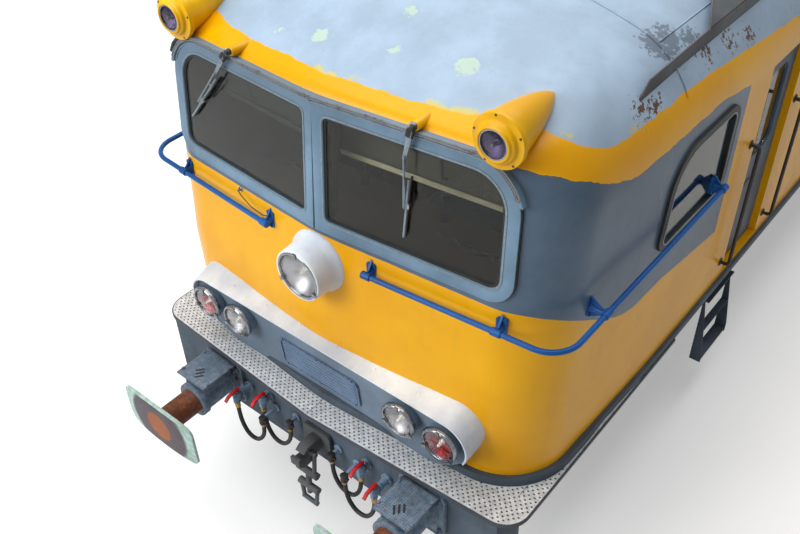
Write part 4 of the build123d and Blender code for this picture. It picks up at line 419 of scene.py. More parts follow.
def make_body_paint():
    """The body's hand-painted bands: yellow, slate round the windows, pale roof, with rust runs and chips."""
    material, tree, shader = new_material("body enamel")
    place = place_coordinates(tree)
    axes = put(tree, "ShaderNodeSeparateXYZ", {0: place}).outputs
    x = calc(tree, "ABSOLUTE", axes["X"])
    y = calc(tree, "ABSOLUTE", axes["Y"])
    z = axes["Z"]
    wobble = calc(tree, "SUBTRACT", noise(tree, place, 9.0, 7.0, 0.62), 0.5)
    ragged = calc(tree, "MULTIPLY", wobble, 0.045)
    neat = calc(tree, "MULTIPLY", wobble, 0.008)

    aft = calc(tree, "MAXIMUM", calc(tree, "SUBTRACT", BAND_LOW_FALL_X, x), 0.0)
    band_low = calc(tree, "MULTIPLY_ADD", step_up(tree, x, *BAND_LOW_RISE_X), BAND_LOW_RISE, BAND_LOW_Z)
    band_low = calc(tree, "MULTIPLY_ADD", aft, BAND_LOW_FALL, band_low)
    aft = calc(tree, "MAXIMUM", calc(tree, "SUBTRACT", BAND_HIGH_FALL_X, x), 0.0)
    band_high = calc(tree, "MULTIPLY_ADD", step_up(tree, x, *BAND_HIGH_RISE_X), BAND_HIGH_RISE, BAND_HIGH_Z)
    band_high = calc(tree, "MULTIPLY_ADD", aft, BAND_HIGH_FALL, band_high)
    above = calc(tree, "SUBTRACT", calc(tree, "ADD", z, neat), band_low)
    above = step_up(tree, above, -SOFT_EDGE, SOFT_EDGE)
    below = calc(tree, "SUBTRACT", band_high, calc(tree, "ADD", z, ragged))
    below = step_up(tree, below, -2 * SOFT_EDGE, 2 * SOFT_EDGE)
    ahead = step_up(tree, x, BAND_REAR_X - SOFT_EDGE, BAND_REAR_X + SOFT_EDGE)
    band = calc(tree, "MULTIPLY", calc(tree, "MULTIPLY", above, below), ahead)

    front_reach = calc(tree, "SUBTRACT", calc(tree, "MULTIPLY_ADD", y, -NOSE_VEE, ROOF_FRONT_X), x)
    aft = calc(tree, "MAXIMUM", calc(tree, "SUBTRACT", ROOF_FALL_X, x), 0.0)
    side_reach = calc(tree, "SUBTRACT", calc(tree, "MULTIPLY_ADD", aft, ROOF_FALL, z), ROOF_SIDE_Z)
    inboard = calc(tree, "MAXIMUM", calc(tree, "SUBTRACT", ROOF_SIDE_Y, y), 0.0)
    side_reach = calc(tree, "ADD", side_reach, inboard)
    reach = calc(tree, "SMOOTH_MIN", front_reach, side_reach, ROOF_ROUND)
    edge = calc(tree, "ADD", reach, ragged)
    roof = step_up(tree, edge, -0.003, 0.003)
    smear = step_up(tree, noise(tree, place, 3.2, 5.0, 0.6), 0.57, 0.60)
    near_edge = calc(tree, "SUBTRACT", 1.0, step_up(tree, edge, 0.010, 0.035))
    smear = calc(tree, "MULTIPLY", calc(tree, "MULTIPLY", smear, near_edge), roof)

    brush = use(tree, BRUSHWORK)
    shade = step_up(tree, brush["Shade"], 0.35, 0.70)
    yellow = mix_colour(tree, shade, YELLOW_DEEP, YELLOW)
    slate = mix_colour(tree, shade, WINDOW_BAND, shaded(WINDOW_BAND, 1.18))
    scratch = noise(tree, stretched(tree, place, (1.0, 1.0, 7.0)), 24.0, 6.0, 0.7)
    slate = mix_colour(tree, step_up(tree, scratch, 0.66, 0.80), slate, (0.47, 0.53, 0.58))
    mottled = step_up(tree, noise(tree, place, 2.2, 8.0, 0.66), 0.36, 0.66)
    pale = mix_colour(tree, mottled, shaded(ROOF_BLUE, 0.95), shaded(ROOF_BLUE, 1.04))
    speck = step_up(tree, noise(tree, place, 60.0, 3.0, 0.6), 0.70, 0.74)
    pale = mix_colour(tree, calc(tree, "MULTIPLY", speck, 0.6), pale, (0.34, 0.38, 0.42))
    colour = mix_colour(tree, band, yellow, slate)
    colour = mix_colour(tree, roof, colour, pale)
    colour = mix_colour(tree, calc(tree, "MULTIPLY", smear, 0.8), colour, (0.80, 0.74, 0.30))
    torn = calc(tree, "SUBTRACT", noise(tree, place, 34.0, 6.0, 0.68), 0.5)
    colour = mix_colour(tree, patches(tree, place, PRIMER_SPOTS, torn, 0.16), colour, (0.70, 0.78, 0.73))
    scuffed = calc(tree, "MULTIPLY", patches(tree, place, SCUFF_SPOTS, torn, 0.45), 0.7)
    colour = mix_colour(tree, calc(tree, "MULTIPLY", scuffed, roof), colour, (0.33, 0.36, 0.41))
    flakes = patches(tree, place, RUST_SPOTS, torn, 0.55)
    rust_tone = mix_colour(tree, step_up(tree, torn, -0.05, 0.10), (0.24, 0.20, 0.19), (0.42, 0.29, 0.22))
    colour = mix_colour(tree, calc(tree, "MULTIPLY", flakes, roof), colour, rust_tone)

    chipped = use(tree, CHIPS, Amount=0.12, Size=2.6, Edge=0.1)["Mask"]
    chipped = calc(tree, "MULTIPLY", chipped, calc(tree, "MULTIPLY_ADD", roof, 0.9, 0.1))
    colour = mix_colour(tree, chipped, colour, PRIMER_GREY)
    flaked = calc(tree, "MULTIPLY", use(tree, CHIPS, Amount=0.06, Size=9.0, Edge=0.0)["Mask"], band)
    colour = mix_colour(tree, flaked, colour, (0.66, 0.70, 0.66))
    rust_streak = noise(tree, stretched(tree, place, (14.0, 0.9, 2.0)), 2.0, 5.0, 0.62)
    rearward = calc(tree, "SUBTRACT", 1.0, step_up(tree, x, 7.70, 8.10))
    on_shoulder = calc(tree, "MULTIPLY", step_up(tree, y, 1.05, 1.25), rearward)
    rust_streak = calc(tree, "MULTIPLY", step_up(tree, rust_streak, 0.66, 0.74), roof)
    rust_streak = calc(tree, "MULTIPLY", rust_streak, on_shoulder)
    colour = mix_colour(tree, calc(tree, "MULTIPLY", rust_streak, 0.75), colour, RUST)
    # roof and side masks: soiling, with painted shade in corners and crevices from ambient occlusion
    roof_dirt_and_shade = use(tree, GRIME_AND_SHADE, Amount=0.16, Runs=0.0, Size=1.4)["Mask"]
    side_dirt_and_shade = use(tree, GRIME_AND_SHADE, Amount=0.03, Runs=0.05, Size=2.5)["Mask"]
    dirt_and_shade = calc(tree, "MULTIPLY_ADD", roof, calc(tree, "SUBTRACT", roof_dirt_and_shade, side_dirt_and_shade), side_dirt_and_shade)
    colour = mix_colour(tree, dirt_and_shade, colour, (0.36, 0.37, 0.37))
    rough = calc(tree, "MULTIPLY_ADD", roof, 0.22, 0.26)
    rough = calc(tree, "ADD", rough, calc(tree, "MULTIPLY", dirt_and_shade, 0.4))
    rough = calc(tree, "ADD", rough, calc(tree, "MULTIPLY", chipped, 0.2), clamp=True)
    height = calc(tree, "SUBTRACT", brush["Height"], calc(tree, "ADD", chipped, smear))
    shader.inputs["Specular IOR Level"].default_value = 0.2
    feed(tree, shader, colour, rough, height=height, depth=0.0006, strength=0.3)
    return material


def make_buffer_paint():
    """Buffers: chipped blue-grey housing, rusty plunger, dark plate with a rust ring and a pale green rim."""
    material, tree, shader = new_material("buffer enamel")
    place = place_coordinates(tree)
    axes = put(tree, "ShaderNodeSeparateXYZ", {0: place}).outputs
    x = calc(tree, "ABSOLUTE", axes["X"])
    y = calc(tree, "SUBTRACT", calc(tree, "ABSOLUTE", axes["Y"]), BUFFER_Y)
    z = calc(tree, "SUBTRACT", axes["Z"], BUFFER_Z)
    radius = calc(tree, "SQRT", calc(tree, "ADD", calc(tree, "MULTIPLY", y, y), calc(tree, "MULTIPLY", z, z)))
    patchy = noise(tree, place, 26.0, 7.0, 0.62)
    radius = calc(tree, "MULTIPLY_ADD", calc(tree, "SUBTRACT", patchy, 0.5), 0.05, radius)
    rusty = use(tree, RUSTED)
    colour = mix_colour(tree, step_up(tree, patchy, 0.3, 0.7), (0.34, 0.42, 0.50), (0.50, 0.59, 0.66))
    flaked = use(tree, CHIPS, Amount=0.55, Size=9.0, Edge=0.9)["Mask"]
    colour = mix_colour(tree, flaked, colour, rusty["Color"])
    on_plate = step_up(tree, x, 9.425, 9.428)
    behind = calc(tree, "SUBTRACT", 1.0, step_up(tree, x, 9.466, 9.470))
    rim = mix_colour(tree, step_up(tree, patchy, 0.45, 0.55), (0.60, 0.74, 0.66), (0.72, 0.80, 0.80))
    colour = mix_colour(tree, calc(tree, "MULTIPLY", on_plate, behind), colour, rim)
    face = mix_colour(tree, step_up(tree, patchy, 0.3, 0.7), (0.27, 0.24, 0.27), (0.36, 0.32, 0.34))
    ring = calc(tree, "SUBTRACT", 1.0, step_up(tree, radius, 0.105, 0.125))
    face = mix_colour(tree, ring, face, (0.60, 0.33, 0.16))
    colour = mix_colour(tree, step_up(tree, x, 9.466, 9.470), colour, face)
    plunger = calc(tree, "SUBTRACT", 1.0, step_up(tree, radius, 0.110, 0.114))
    plunger = calc(tree, "MULTIPLY", plunger, step_up(tree, x, 9.179, 9.182))
    plunger = calc(tree, "MULTIPLY", plunger, calc(tree, "SUBTRACT", 1.0, on_plate))
    colour = mix_colour(tree, plunger, colour, rusty["Color"])
    # soiling, with painted shade in corners and crevices from ambient occlusion
    dirt_and_shade_mask = use(tree, GRIME_AND_SHADE, Amount=0.35, Runs=0.1)["Mask"]
    colour = mix_colour(tree, dirt_and_shade_mask, colour, (0.20, 0.18, 0.16))
    rough = calc(tree, "MULTIPLY_ADD", patchy, 0.3, 0.40)
    shader.inputs["Specular IOR Level"].default_value = 0.35
    feed(tree, shader, colour, rough, height=calc(tree, "SUBTRACT", patchy, flaked), depth=0.001,
         strength=0.5)
    return material


FINISH = {
    "body": make_body_paint(),
    "yellow": painted("yellow enamel", YELLOW, PRIMER_GREY, 0.05, 6.0, 0.12, 0.06, 0.0, 0.28),
    "frame": painted("window frame enamel", FRAME_BLUE, PRIMER_GREEN, 0.36, 6.0, 0.5, 0.15, 0.1, 0.38),
    "drip": painted("worn drip strip", (0.55, 0.60, 0.62), (0.40, 0.33, 0.33), 0.75, 24.0, 0.9, 0.3, 0.1,
                    0.5),
    "band": painted("window band enamel", WINDOW_BAND, PRIMER_GREEN, 0.15, 7.0, 0.4, 0.2, 0.1, 0.36),
    "underframe": painted("underframe enamel", UNDERFRAME_BLUE, RUST, 0.30, 6.0, 0.5, 0.45, 0.3, 0.55),
    "fitting": painted("pipe fitting enamel", (0.42, 0.51, 0.60), RUST, 0.30, 14.0, 0.7, 0.35, 0.1, 0.45),
    "buffer": make_buffer_paint(),
    "bogie": painted("bogie grime", (0.17, 0.17, 0.17), (0.30, 0.22, 0.16), 0.35, 5.0, 0.5, 0.6, 0.3, 0.6),
    "hood": painted("hood white", (0.86, 0.90, 0.96), (0.55, 0.55, 0.53), 0.08, 7.0, 0.3, 0.10, 0.1, 0.34),
    "panel": painted("lamp panel enamel", (0.44, 0.51, 0.58), DARK_CHIP, 0.12, 8.0, 0.3, 0.25, 0.1, 0.4),
    "grille": painted("grille enamel", (0.43, 0.52, 0.63), DARK_CHIP, 0.12, 10.0, 0.4, 0.25, 0.1, 0.34),
    "roof": painted("roof gear enamel", ROOF_BLUE, RUST, 0.2, 5.0, 0.5, 0.3, 0.2, 0.45),
    "rail": painted("rail enamel", RAIL_BLUE, DARK_CHIP, 0.2, 14.0, 0.5, 0.1, 0.0, 0.25),
    "screen": painted("roof screen enamel", (0.33, 0.35, 0.36), RUST, 0.35, 3.0, 0.5, 0.45, 0.2, 0.5),
    "lining": painted("cab lining", (0.34, 0.29, 0.24), (0.20, 0.16, 0.12), 0.1, 6.0, 0.3, 0.3, 0.0, 0.55),
    "desk": painted("desk enamel", (0.33, 0.24, 0.16), (0.5, 0.5, 0.48), 0.1, 6.0, 0.6, 0.2, 0.0, 0.45),
    "blind": painted("roller blind", (0.30, 0.28, 0.24), (0.22, 0.20, 0.17), 0.2, 8.0, 0.1, 0.3, 0.3, 0.7),
    "visor": painted("visor trim", (0.72, 0.66, 0.56), DARK_CHIP, 0.1, 9.0, 0.3, 0.2, 0.0, 0.5),
    "red": painted("handle red", (0.74, 0.06, 0.08), RUST, 0.20, 16.0, 0.5, 0.15, 0.0, 0.35),
    "wheel": steel("wheel steel", (0.36, 0.31, 0.28), 0.5, 0.5, 0.8, 12.0),
    "steel": steel("bare steel", (0.60, 0.60, 0.59), 0.38, 0.35, 0.2, 40.0),
    "walkway": steel("walkway steel", (0.88, 0.89, 0.90), 0.50, 0.10, 0.14, 30.0, 0.05),
    # the walkway's folded edge is the same steel as its sheet; this dark blue-grey is painted shade
    "edge": painted("folded edge", (0.25, 0.29, 0.33), RUST, 0.25, 9.0, 0.5, 0.3, 0.1, 0.45),
    "coupling": painted("worn coupling", (0.30, 0.32, 0.33), (0.42, 0.32, 0.24), 0.45, 12.0, 0.9, 0.5, 0.1,
                        0.5),
    "arm": steel("wiper arm", (0.55, 0.60, 0.64), 0.36, 0.15, 0.02, 60.0, 0.6),
    "chrome": steel("chrome", (0.62, 0.63, 0.65), 0.16, 0.06, 0.0, 60.0),
    "mirror": steel("lamp reflector", (0.64, 0.64, 0.64), 0.30, 0.0, 0.0, 25.0),
    "dull mirror": steel("dull reflector", (0.46, 0.44, 0.52), 0.38, 0.1, 0.0, 25.0),
    "brass": steel("brass", (0.78, 0.62, 0.32), 0.35, 0.2, 0.0, 50.0),
    "rubber": plain_noise("hose rubber", (0.09, 0.09, 0.09), 0.50, 160.0, 0.0004),
    "seal": plain_noise("window seal", (0.06, 0.06, 0.065), 0.45, 90.0, 0.0003),
    "porcelain": plain_noise("brown porcelain", (0.27, 0.12, 0.07), 0.12, 20.0, 0.0002),
    "bulb": plain_noise("bulb and holder", (0.93, 0.91, 0.84), 0.25, 40.0, 0.0002, 0.08),
    "cloth": plain_noise("seat cloth", (0.30, 0.17, 0.10), 0.75, 420.0, 0.0012),
    "glazing": clear_glass("glazing", (0.78, 0.80, 0.78), 0.0, 0.0, 0.02, 1.28),
    "lens": clear_glass("lamp lens", (0.97, 0.97, 0.98), 0.03, 26.0, 0.04, 1.40),
    "dark lens": clear_glass("violet lamp glass", (0.76, 0.73, 0.82), 0.08, 40.0, 0.06, 1.35),
    "red lens": clear_glass("red filter", (0.90, 0.12, 0.12), 0.10, 60.0, 0.05, 1.30),
}


# Mesh helpers

def polygon_arc(centre, start, end, radius, steps):
    """Points on an arc between two angles, in a plane."""
    angles = [start + (end - start) * i / steps for i in range(steps + 1)]
    return [(centre[0] + radius * math.cos(a), centre[1] + radius * math.sin(a)) for a in angles]


def rounded_corners(corners, steps=8):
    """Outline with each corner (u, v, radius) rounded by an arc."""
    made = []
    count = len(corners)
    for index, (u, v, radius) in enumerate(corners):
        here = Vector((u, v))
        before = (Vector(corners[index - 1][:2]) - here).normalized()
        after = (Vector(corners[(index + 1) % count][:2]) - here).normalized()
        half = before.angle(after) / 2
        if radius <= 0:
            made.append((u, v))
            continue
        reach = radius / math.tan(half)
        centre = here + (before + after).normalized() * (radius / math.sin(half))
        first = here + before * reach - centre
        last = here + after * reach - centre
        start = math.atan2(first.y, first.x)
        turn = (math.atan2(last.y, last.x) - start + math.pi) % (2 * math.pi) - math.pi
        made += polygon_arc(centre, start, start + turn, radius, steps)
    return made


def upright(half, low, high):
    """Outline of a rectangle: half its width, its foot and its top."""
    return [(-half, low), (half, low), (half, high), (-half, high)]


def placed(name, data):
    """An object for the data, linked to the scene."""
    piece = bpy.data.objects.new(name, data)
    bpy.context.scene.collection.objects.link(piece)
    return piece


def numbered(name, end):
    """Name of a piece of one end: 1 at the front, 2 at the rear."""
    return f"{name}_{1 if end > 0 else 2}"


def sided(name, end, side):
    """Name of a piece of one end and one side, left and right as seen from its own cab."""
    return f"{numbered(name, end)}_{'left' if side > 0 else 'right'}"


class Work:
    """Gathers the faces of one piece before it becomes an object."""

    def __init__(self):
        self.points, self.faces, self.finish_of = [], [], []

    def add(self, points, faces, finish=0):
        base = len(self.points)
        self.points.extend(Vector(p) for p in points)
        self.faces.extend([base + i for i in face] for face in faces)
        self.finish_of.extend([finish] * len(faces))

    def rows(self, rows, closed=True, caps=True, finish=0):
        """A skin over rows of points, each row with the same count."""
        count = len(rows[0])
        points = [p for row in rows for p in row]
        faces = []
        for r in range(len(rows) - 1):
            for c in range(count if closed else count - 1):
                nxt = (c + 1) % count
                faces.append([r * count + c, r * count + nxt, (r + 1) * count + nxt, (r + 1) * count + c])
        if caps:
            faces.append(list(reversed(range(count))))
            faces.append([(len(rows) - 1) * count + c for c in range(count)])
        self.add(points, faces, finish)

    def turned(self, profile, origin, axis, sides=32, finish=0, caps=True):
        """A round piece: profile of (distance along the axis, radius)."""
        across, up = plane_axes(axis)
        along = Vector(axis).normalized()
        rows = []
        for distance, radius in profile:
            centre = Vector(origin) + along * distance
            rows.append([centre + (across * math.cos(a) + up * math.sin(a)) * radius
                         for a in (2 * math.pi * i / sides for i in range(sides))])
        self.rows(rows, True, caps, finish)

    def tube(self, path, radius, sides=10, finish=0):
        """A round bar along a line of points."""
        path = [Vector(p) for p in path]
        along = (path[1] - path[0]).normalized()
        across, _ = plane_axes(along)
        rows = []
        for index, here in enumerate(path):
            ahead = path[min(index + 1, len(path) - 1)] - path[max(index - 1, 0)]
            turn = along.rotation_difference(ahead.normalized())
            along = ahead.normalized()
            across = (turn @ across).normalized()
            up = along.cross(across)
            rows.append([here + (across * math.cos(a) + up * math.sin(a)) * radius
                         for a in (2 * math.pi * i / sides for i in range(sides))])
        self.rows(rows, True, True, finish)

    def slab(self, outline, origin, u_axis, v_axis, low, high, finish=0):
        """An outline in a plane given thickness along the plane's normal."""
        u_axis, v_axis = Vector(u_axis).normalized(), Vector(v_axis).normalized()
        normal = u_axis.cross(v_axis)
        rows = [[Vector(origin) + u_axis * u + v_axis * v + normal * level for u, v in outline]
                for level in (low, high)]
        self.rows(rows, True, True, finish)

    def brick(self, low, high, finish=0):
        """A box between two corners."""
        outline = [(low[0], low[1]), (high[0], low[1]), (high[0], high[1]), (low[0], high[1])]
        self.slab(outline, (0, 0, 0), (1, 0, 0), (0, 1, 0), low[2], high[2], finish)

    def ring(self, outer, inner, place, low, high, finish=0):
        """A flat ring between two outlines with as many points each; place gives (u, v, level) its point."""
        count = len(outer)
        loops = [[place(u, v, low) for u, v in outer], [place(u, v, high) for u, v in outer],
                 [place(u, v, high) for u, v in inner], [place(u, v, low) for u, v in inner]]
        faces = []
        for r in range(4):
            for c in range(count):
                nxt = (c + 1) % count
                other = (r + 1) % 4
                faces.append([r * count + c, r * count + nxt, other * count + nxt, other * count + c])
        self.add([point for loop in loops for point in loop], faces, finish)

    def flipped(self, x=1, y=1):
        """All that is here, moved to the other end or the other side."""
        self.points = [Vector((p.x * x, p.y * y, p.z)) for p in self.points]
        if x * y < 0:
            self.faces = [list(reversed(face)) for face in self.faces]
        return self

    def both_sides(self):
        """Adds a copy of all that is here on the other side."""
        base = len(self.points)
        self.faces.extend([[base + i for i in reversed(face)] for face in self.faces])
        self.points.extend([Vector((p.x, -p.y, p.z)) for p in self.points])
        self.finish_of.extend(list(self.finish_of))
        return self

    def build(self, name, finishes, body="body", replaces=(), smooth=35, bevel=0.0, segments=2):
        """The piece as an object that rides on its body."""
        mesh = bpy.data.meshes.new(name)
        mesh.from_pydata(self.points, [], self.faces)
        for finish in ([finishes] if isinstance(finishes, str) else finishes):
            mesh.materials.append(FINISH[finish])
        mesh.polygons.foreach_set("material_index", self.finish_of)
        mesh.validate()
        outwards(mesh)
        piece = placed(name, mesh)
        soften(piece, smooth, bevel, segments)
        return dress(piece, body, replaces)


def outwards(mesh):
    """Join points that coincide and turn every face's normal to the outside."""
    made = bmesh.new()
    made.from_mesh(mesh)
    bmesh.ops.remove_doubles(made, verts=made.verts, dist=0.00001)
    bmesh.ops.recalc_face_normals(made, faces=made.faces)
    made.to_mesh(mesh)
    made.free()


def plane_axes(axis):
    """Two directions square to an axis and to each other."""
    along = Vector(axis).normalized()
    helper = Vector((0, 0, 1)) if abs(along.z) < 0.9 else Vector((1, 0, 0))
    across = helper.cross(along).normalized()
    return across, along.cross(across)


def soften(piece, smooth=35, bevel=0.0, segments=2):
    """Smooth shading up to an angle, and rounded edges of a width where asked."""
    piece.data.shade_smooth()
    if bevel:
        made = piece.modifiers.new("rounded edges", "BEVEL")
        made.width, made.segments, made.limit_method = bevel, segments, "ANGLE"
        made.angle_limit = math.radians(32)
        made.harden_normals = False
        split = piece.modifiers.new("crisp edges", "EDGE_SPLIT")
        split.split_angle = math.radians(smooth + 12)
        split.use_edge_sharp = False
    else:
        piece.data.set_sharp_from_angle(angle=math.radians(smooth))


def dress(piece, body="body", replaces=()):
    """Tie a piece to its body and the nodes that it stands for."""
    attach(piece, body)
    if replaces:
        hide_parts(*([replaces] if isinstance(replaces, str) else replaces))
    return piece


def carved(piece, cutters):
    """The piece with the cutters' forms taken away, as a plain mesh."""
    for cutter in cutters:
        cut = piece.modifiers.new("cut", "BOOLEAN")
        cut.object, cut.operation, cut.solver = cutter, "DIFFERENCE", "EXACT"
    bpy.context.view_layer.update()
    made = bpy.data.meshes.new_from_object(piece.evaluated_get(bpy.context.evaluated_depsgraph_get()))
    piece.modifiers.clear()
    piece.data = made
    for cutter in cutters:
        bpy.data.objects.remove(cutter)
    return piece


# Body skin

def smooth_table(table, level):
    """A value read from (level, value) rows, eased between them."""
    for (low, first), (high, last) in zip(table, table[1:]):
        if level <= high:
            share = max(0.0, (level - low) / (high - low))
            share = share * share * (3 - 2 * share)
            return first + (last - first) * share
    return table[-1][1]


CORNER_RADII = (
    (1.40, 0.430), (2.03, 0.410), (3.13, 0.370), (3.29, 0.370), (3.476, 0.400),
    (3.64, 0.460), (3.73, 0.430), (3.79, 0.300), (3.828, 0.150),
)


def half_width_at(z):
    """Half the body's width at a level: side, eave arc, crown arc."""
    if z <= EAVE_Z:
        return HALF_WIDTH
    if z <= EAVE_Z + EAVE_RADIUS * math.sin(EAVE_TURN):
        return EAVE_CENTRE_Y + math.sqrt(EAVE_RADIUS ** 2 - (z - EAVE_Z) ** 2)
    return math.sqrt(max(CROWN_RADIUS ** 2 - (z - CROWN_CENTRE_Z) ** 2, 1e-6))


def raked_x(z):
    """Reach of the raked front on the centre line."""
    return NOSE_X - NOSE_RAKE * max(0.0, z - RAKE_START_Z)


def crown_x(z):
    """Reach of the crown's falling arc on the centre line."""
    drop = CROWN_Z - z
    return CROWN_START_X + math.sqrt(max(2 * FRONT_CROWN_RADIUS * drop - drop ** 2, 0.0))


def brow_fillet():
    """Centre of the round brow on the centre line and the levels where it meets the front and the crown."""
    slope = math.hypot(1, NOSE_RAKE)
    arc_x, arc_z = CROWN_START_X, CROWN_Z - FRONT_CROWN_RADIUS
    # the centre lies on the front moved inwards, x = foot - rake * z, and on the crown's arc moved inwards
    foot = NOSE_X + NOSE_RAKE * RAKE_START_Z - BROW_ROUNDING * slope
    a = NOSE_RAKE ** 2 + 1
    b = -2 * (NOSE_RAKE * (foot - arc_x) + arc_z)
    c = (foot - arc_x) ** 2 + arc_z ** 2 - (FRONT_CROWN_RADIUS - BROW_ROUNDING) ** 2
    centre_z = (-b + math.sqrt(b * b - 4 * a * c)) / (2 * a)
    centre_x = foot - NOSE_RAKE * centre_z
    low = centre_z + BROW_ROUNDING * NOSE_RAKE / slope
    out = Vector((centre_x - arc_x, centre_z - arc_z)).normalized()
    return centre_x, centre_z, low, centre_z + out.y * BROW_ROUNDING


BROW_X, BROW_Z, BROW_LOW_Z, BROW_HIGH_Z = brow_fillet()


def front_at(z):
    """Reach of the nose on the centre line, its brow rounded where front and crown meet."""
    if z <= BROW_LOW_Z:
        return raked_x(z)
    if z < BROW_HIGH_Z:
        return BROW_X + math.sqrt(BROW_ROUNDING ** 2 - (z - BROW_Z) ** 2)
    return crown_x(z)


def side_y(x, half):
    """Half the width of the tapering side at a distance along it."""
    past = x - TAPER_START_X
    return half - SIDE_TAPER * (past + math.hypot(past, 0.15)) / 2


def front_x(y, front):
    """Reach of the shallow vee of the front, its crease softened."""
    return front - NOSE_VEE * (math.hypot(y, 0.10) - 0.10)


def nose_outline(z):
    """Plan of the nose at one level, from the left rear round the front to the right rear."""
    half, front = half_width_at(z), front_at(z)
    radius = min(smooth_table(CORNER_RADII, z), 0.75 * half)
    corner_x = (front - NOSE_VEE * (half - 0.10 + SIDE_TAPER * TAPER_START_X)) / (1 - NOSE_VEE * SIDE_TAPER)
    corner_y = half - SIDE_TAPER * (corner_x - TAPER_START_X)
    back = Vector((-1, SIDE_TAPER)).normalized()
    inwards = Vector((NOSE_VEE, -1)).normalized()
    half_angle = back.angle(inwards) / 2
    reach = radius / math.tan(half_angle)
    corner = Vector((corner_x, corner_y))
    centre = corner + (back + inwards).normalized() * (radius / math.sin(half_angle))
    first, last = corner + back * reach, corner + inwards * reach
    left = []
    for i in range(24):
        x = CAB_REAR_X + (first.x - CAB_REAR_X) * i / 24
        left.append((x, side_y(x, half)))
    start = math.atan2(first.y - centre.y, first.x - centre.x)
    end = math.atan2(last.y - centre.y, last.x - centre.x)
    left += polygon_arc(centre, start, end, radius, 18)
    for i in range(1, 14):
        y = last.y * (1 - i / 14)
        left.append((front_x(y, front), y))
    return left + [(front, 0.0)] + [(x, -y) for x, y in reversed(left)]


def skin_levels():
    """Levels of the skin's rows: close together over the eave, the brow and the crown."""
    levels = [FLOOR_TOP_Z, 1.50, 1.70, 1.90, 2.03, 2.15, 2.35, 2.55, 2.75, 2.95]
    z = EAVE_Z
    while z < CROWN_Z - 0.004:
        levels.append(z)
        z += 0.016 if z < 3.66 else max(0.002, (CROWN_Z - z) * 0.15)
    return levels + [CROWN_Z - 0.002]


def screen_axes():
    """Origin and the two axes of the raked plane of the left half of the front."""
    foot = Vector((NOSE_X - NOSE_RAKE * (SCREEN_BOTTOM_Z - RAKE_START_Z), 0, SCREEN_BOTTOM_Z))
    along = Vector((-NOSE_VEE, 1, 0)).normalized()
    normal = Vector((1, NOSE_VEE, NOSE_RAKE)).normalized()
    return foot, along, normal.cross(along)


def grown(corners, grow):
    """Corners (u, v, radius) of a convex outline moved outwards, anticlockwise order."""
    made = []
    count = len(corners)
    for index, (u, v, radius) in enumerate(corners):
        here = Vector((u, v))
        ahead = (Vector(corners[(index + 1) % count][:2]) - here).normalized()
        behind = (here - Vector(corners[index - 1][:2])).normalized()
        first, second = Vector((behind.y, -behind.x)), Vector((ahead.y, -ahead.x))
        out = (first + second) / (1 + first.dot(second))
        moved = here + out * grow
        made.append((moved.x, moved.y, max(radius + grow, 0.001)))
    return made


def screen_corners():
    """One windscreen's clear glass in the plane of the front."""
    height = SCREEN_TOP_Z - SCREEN_BOTTOM_Z
    spots = ((SCREEN_INNER_Y, 0), (SCREEN_OUTER_Y, 0), (SCREEN_OUTER_Y - 0.015, height),
             (SCREEN_INNER_Y, height))
    return [(u, v, r) for (u, v), r in zip(spots, SCREEN_CORNERS)]


def cutter(work):
    """A hidden form that is only used to cut with."""
    mesh = bpy.data.meshes.new("cutter")
    mesh.from_pydata(work.points, [], work.faces)
    outwards(mesh)
    piece = placed("cutter", mesh)
    return piece


def make_cab_skin(end):
    """Smooth hollow nose and cab of one end, with windscreens, side windows and doorways cut."""
    flip = (end, end, 1)
    skin = Work()
    rows = [[(x, y, z) for x, y in nose_outline(z)] for z in skin_levels()]
    skin.rows(rows, closed=False, caps=False)
    skin.faces.append(list(range(len(skin.points) - len(rows[0]), len(skin.points))))
    skin.finish_of.append(0)
    skin.points = [Vector((p.x * flip[0], p.y * flip[1], p.z)) for p in skin.points]
    mesh = bpy.data.meshes.new(numbered("cab_skin", end))
    mesh.from_pydata(skin.points, [], skin.faces)
    outwards(mesh)
    mesh.materials.append(FINISH["body"])
    mesh.materials.append(FINISH["lining"])
    piece = placed(mesh.name, mesh)
    thick = piece.modifiers.new("thickness", "SOLIDIFY")
    thick.thickness, thick.offset, thick.material_offset = WALL, -1.0, 1
    cutters = []
    foot, along, up = screen_axes()
    normal = along.cross(up)
    for side in (1, -1):
        pane = Work()
        pane.slab(rounded_corners(grown(screen_corners(), 0.012), 6), foot - normal * 0.4, along, up, 0.0,
                  0.8)
        window = Work()
        corners = [(u, v, r) for u, v, r in grown(SIDE_WINDOW, 0.012)]
        window.slab(rounded_corners(corners, 6), (0, 1.3, 0), (1, 0, 0), (0, 0, 1), -0.4, 0.2)
        door = Work()
        door.brick((DOOR_REAR_X, 1.2, DOOR_BOTTOM_Z), (DOOR_FRONT_X, 1.7, DOOR_TOP_Z))
        for work in (pane, window, door):
            work.points = [Vector((p.x * end, p.y * side * end, p.z)) for p in work.points]
            cutters.append(cutter(work))
    carved(piece, cutters)
    piece.data.shade_smooth()
    piece.data.set_sharp_from_angle(angle=math.radians(28))
    return dress(piece, "body", numbered("cab_shell", end))


for end in (1, -1):
    make_cab_skin(end)


# Roof over the machine room

def roof_profile(inset=0.0, steps=14):
    """Cross-section of the roof from the left eave over the crown to the right eave."""
    arc = polygon_arc((EAVE_CENTRE_Y, EAVE_Z), 0, EAVE_TURN, EAVE_RADIUS - inset, steps)
    top = polygon_arc((0, CROWN_CENTRE_Z), EAVE_TURN, math.pi / 2, CROWN_RADIUS - inset, steps)
    left = arc + top[1:]
    return left + [(-y, z) for y, z in reversed(left[:-1])]


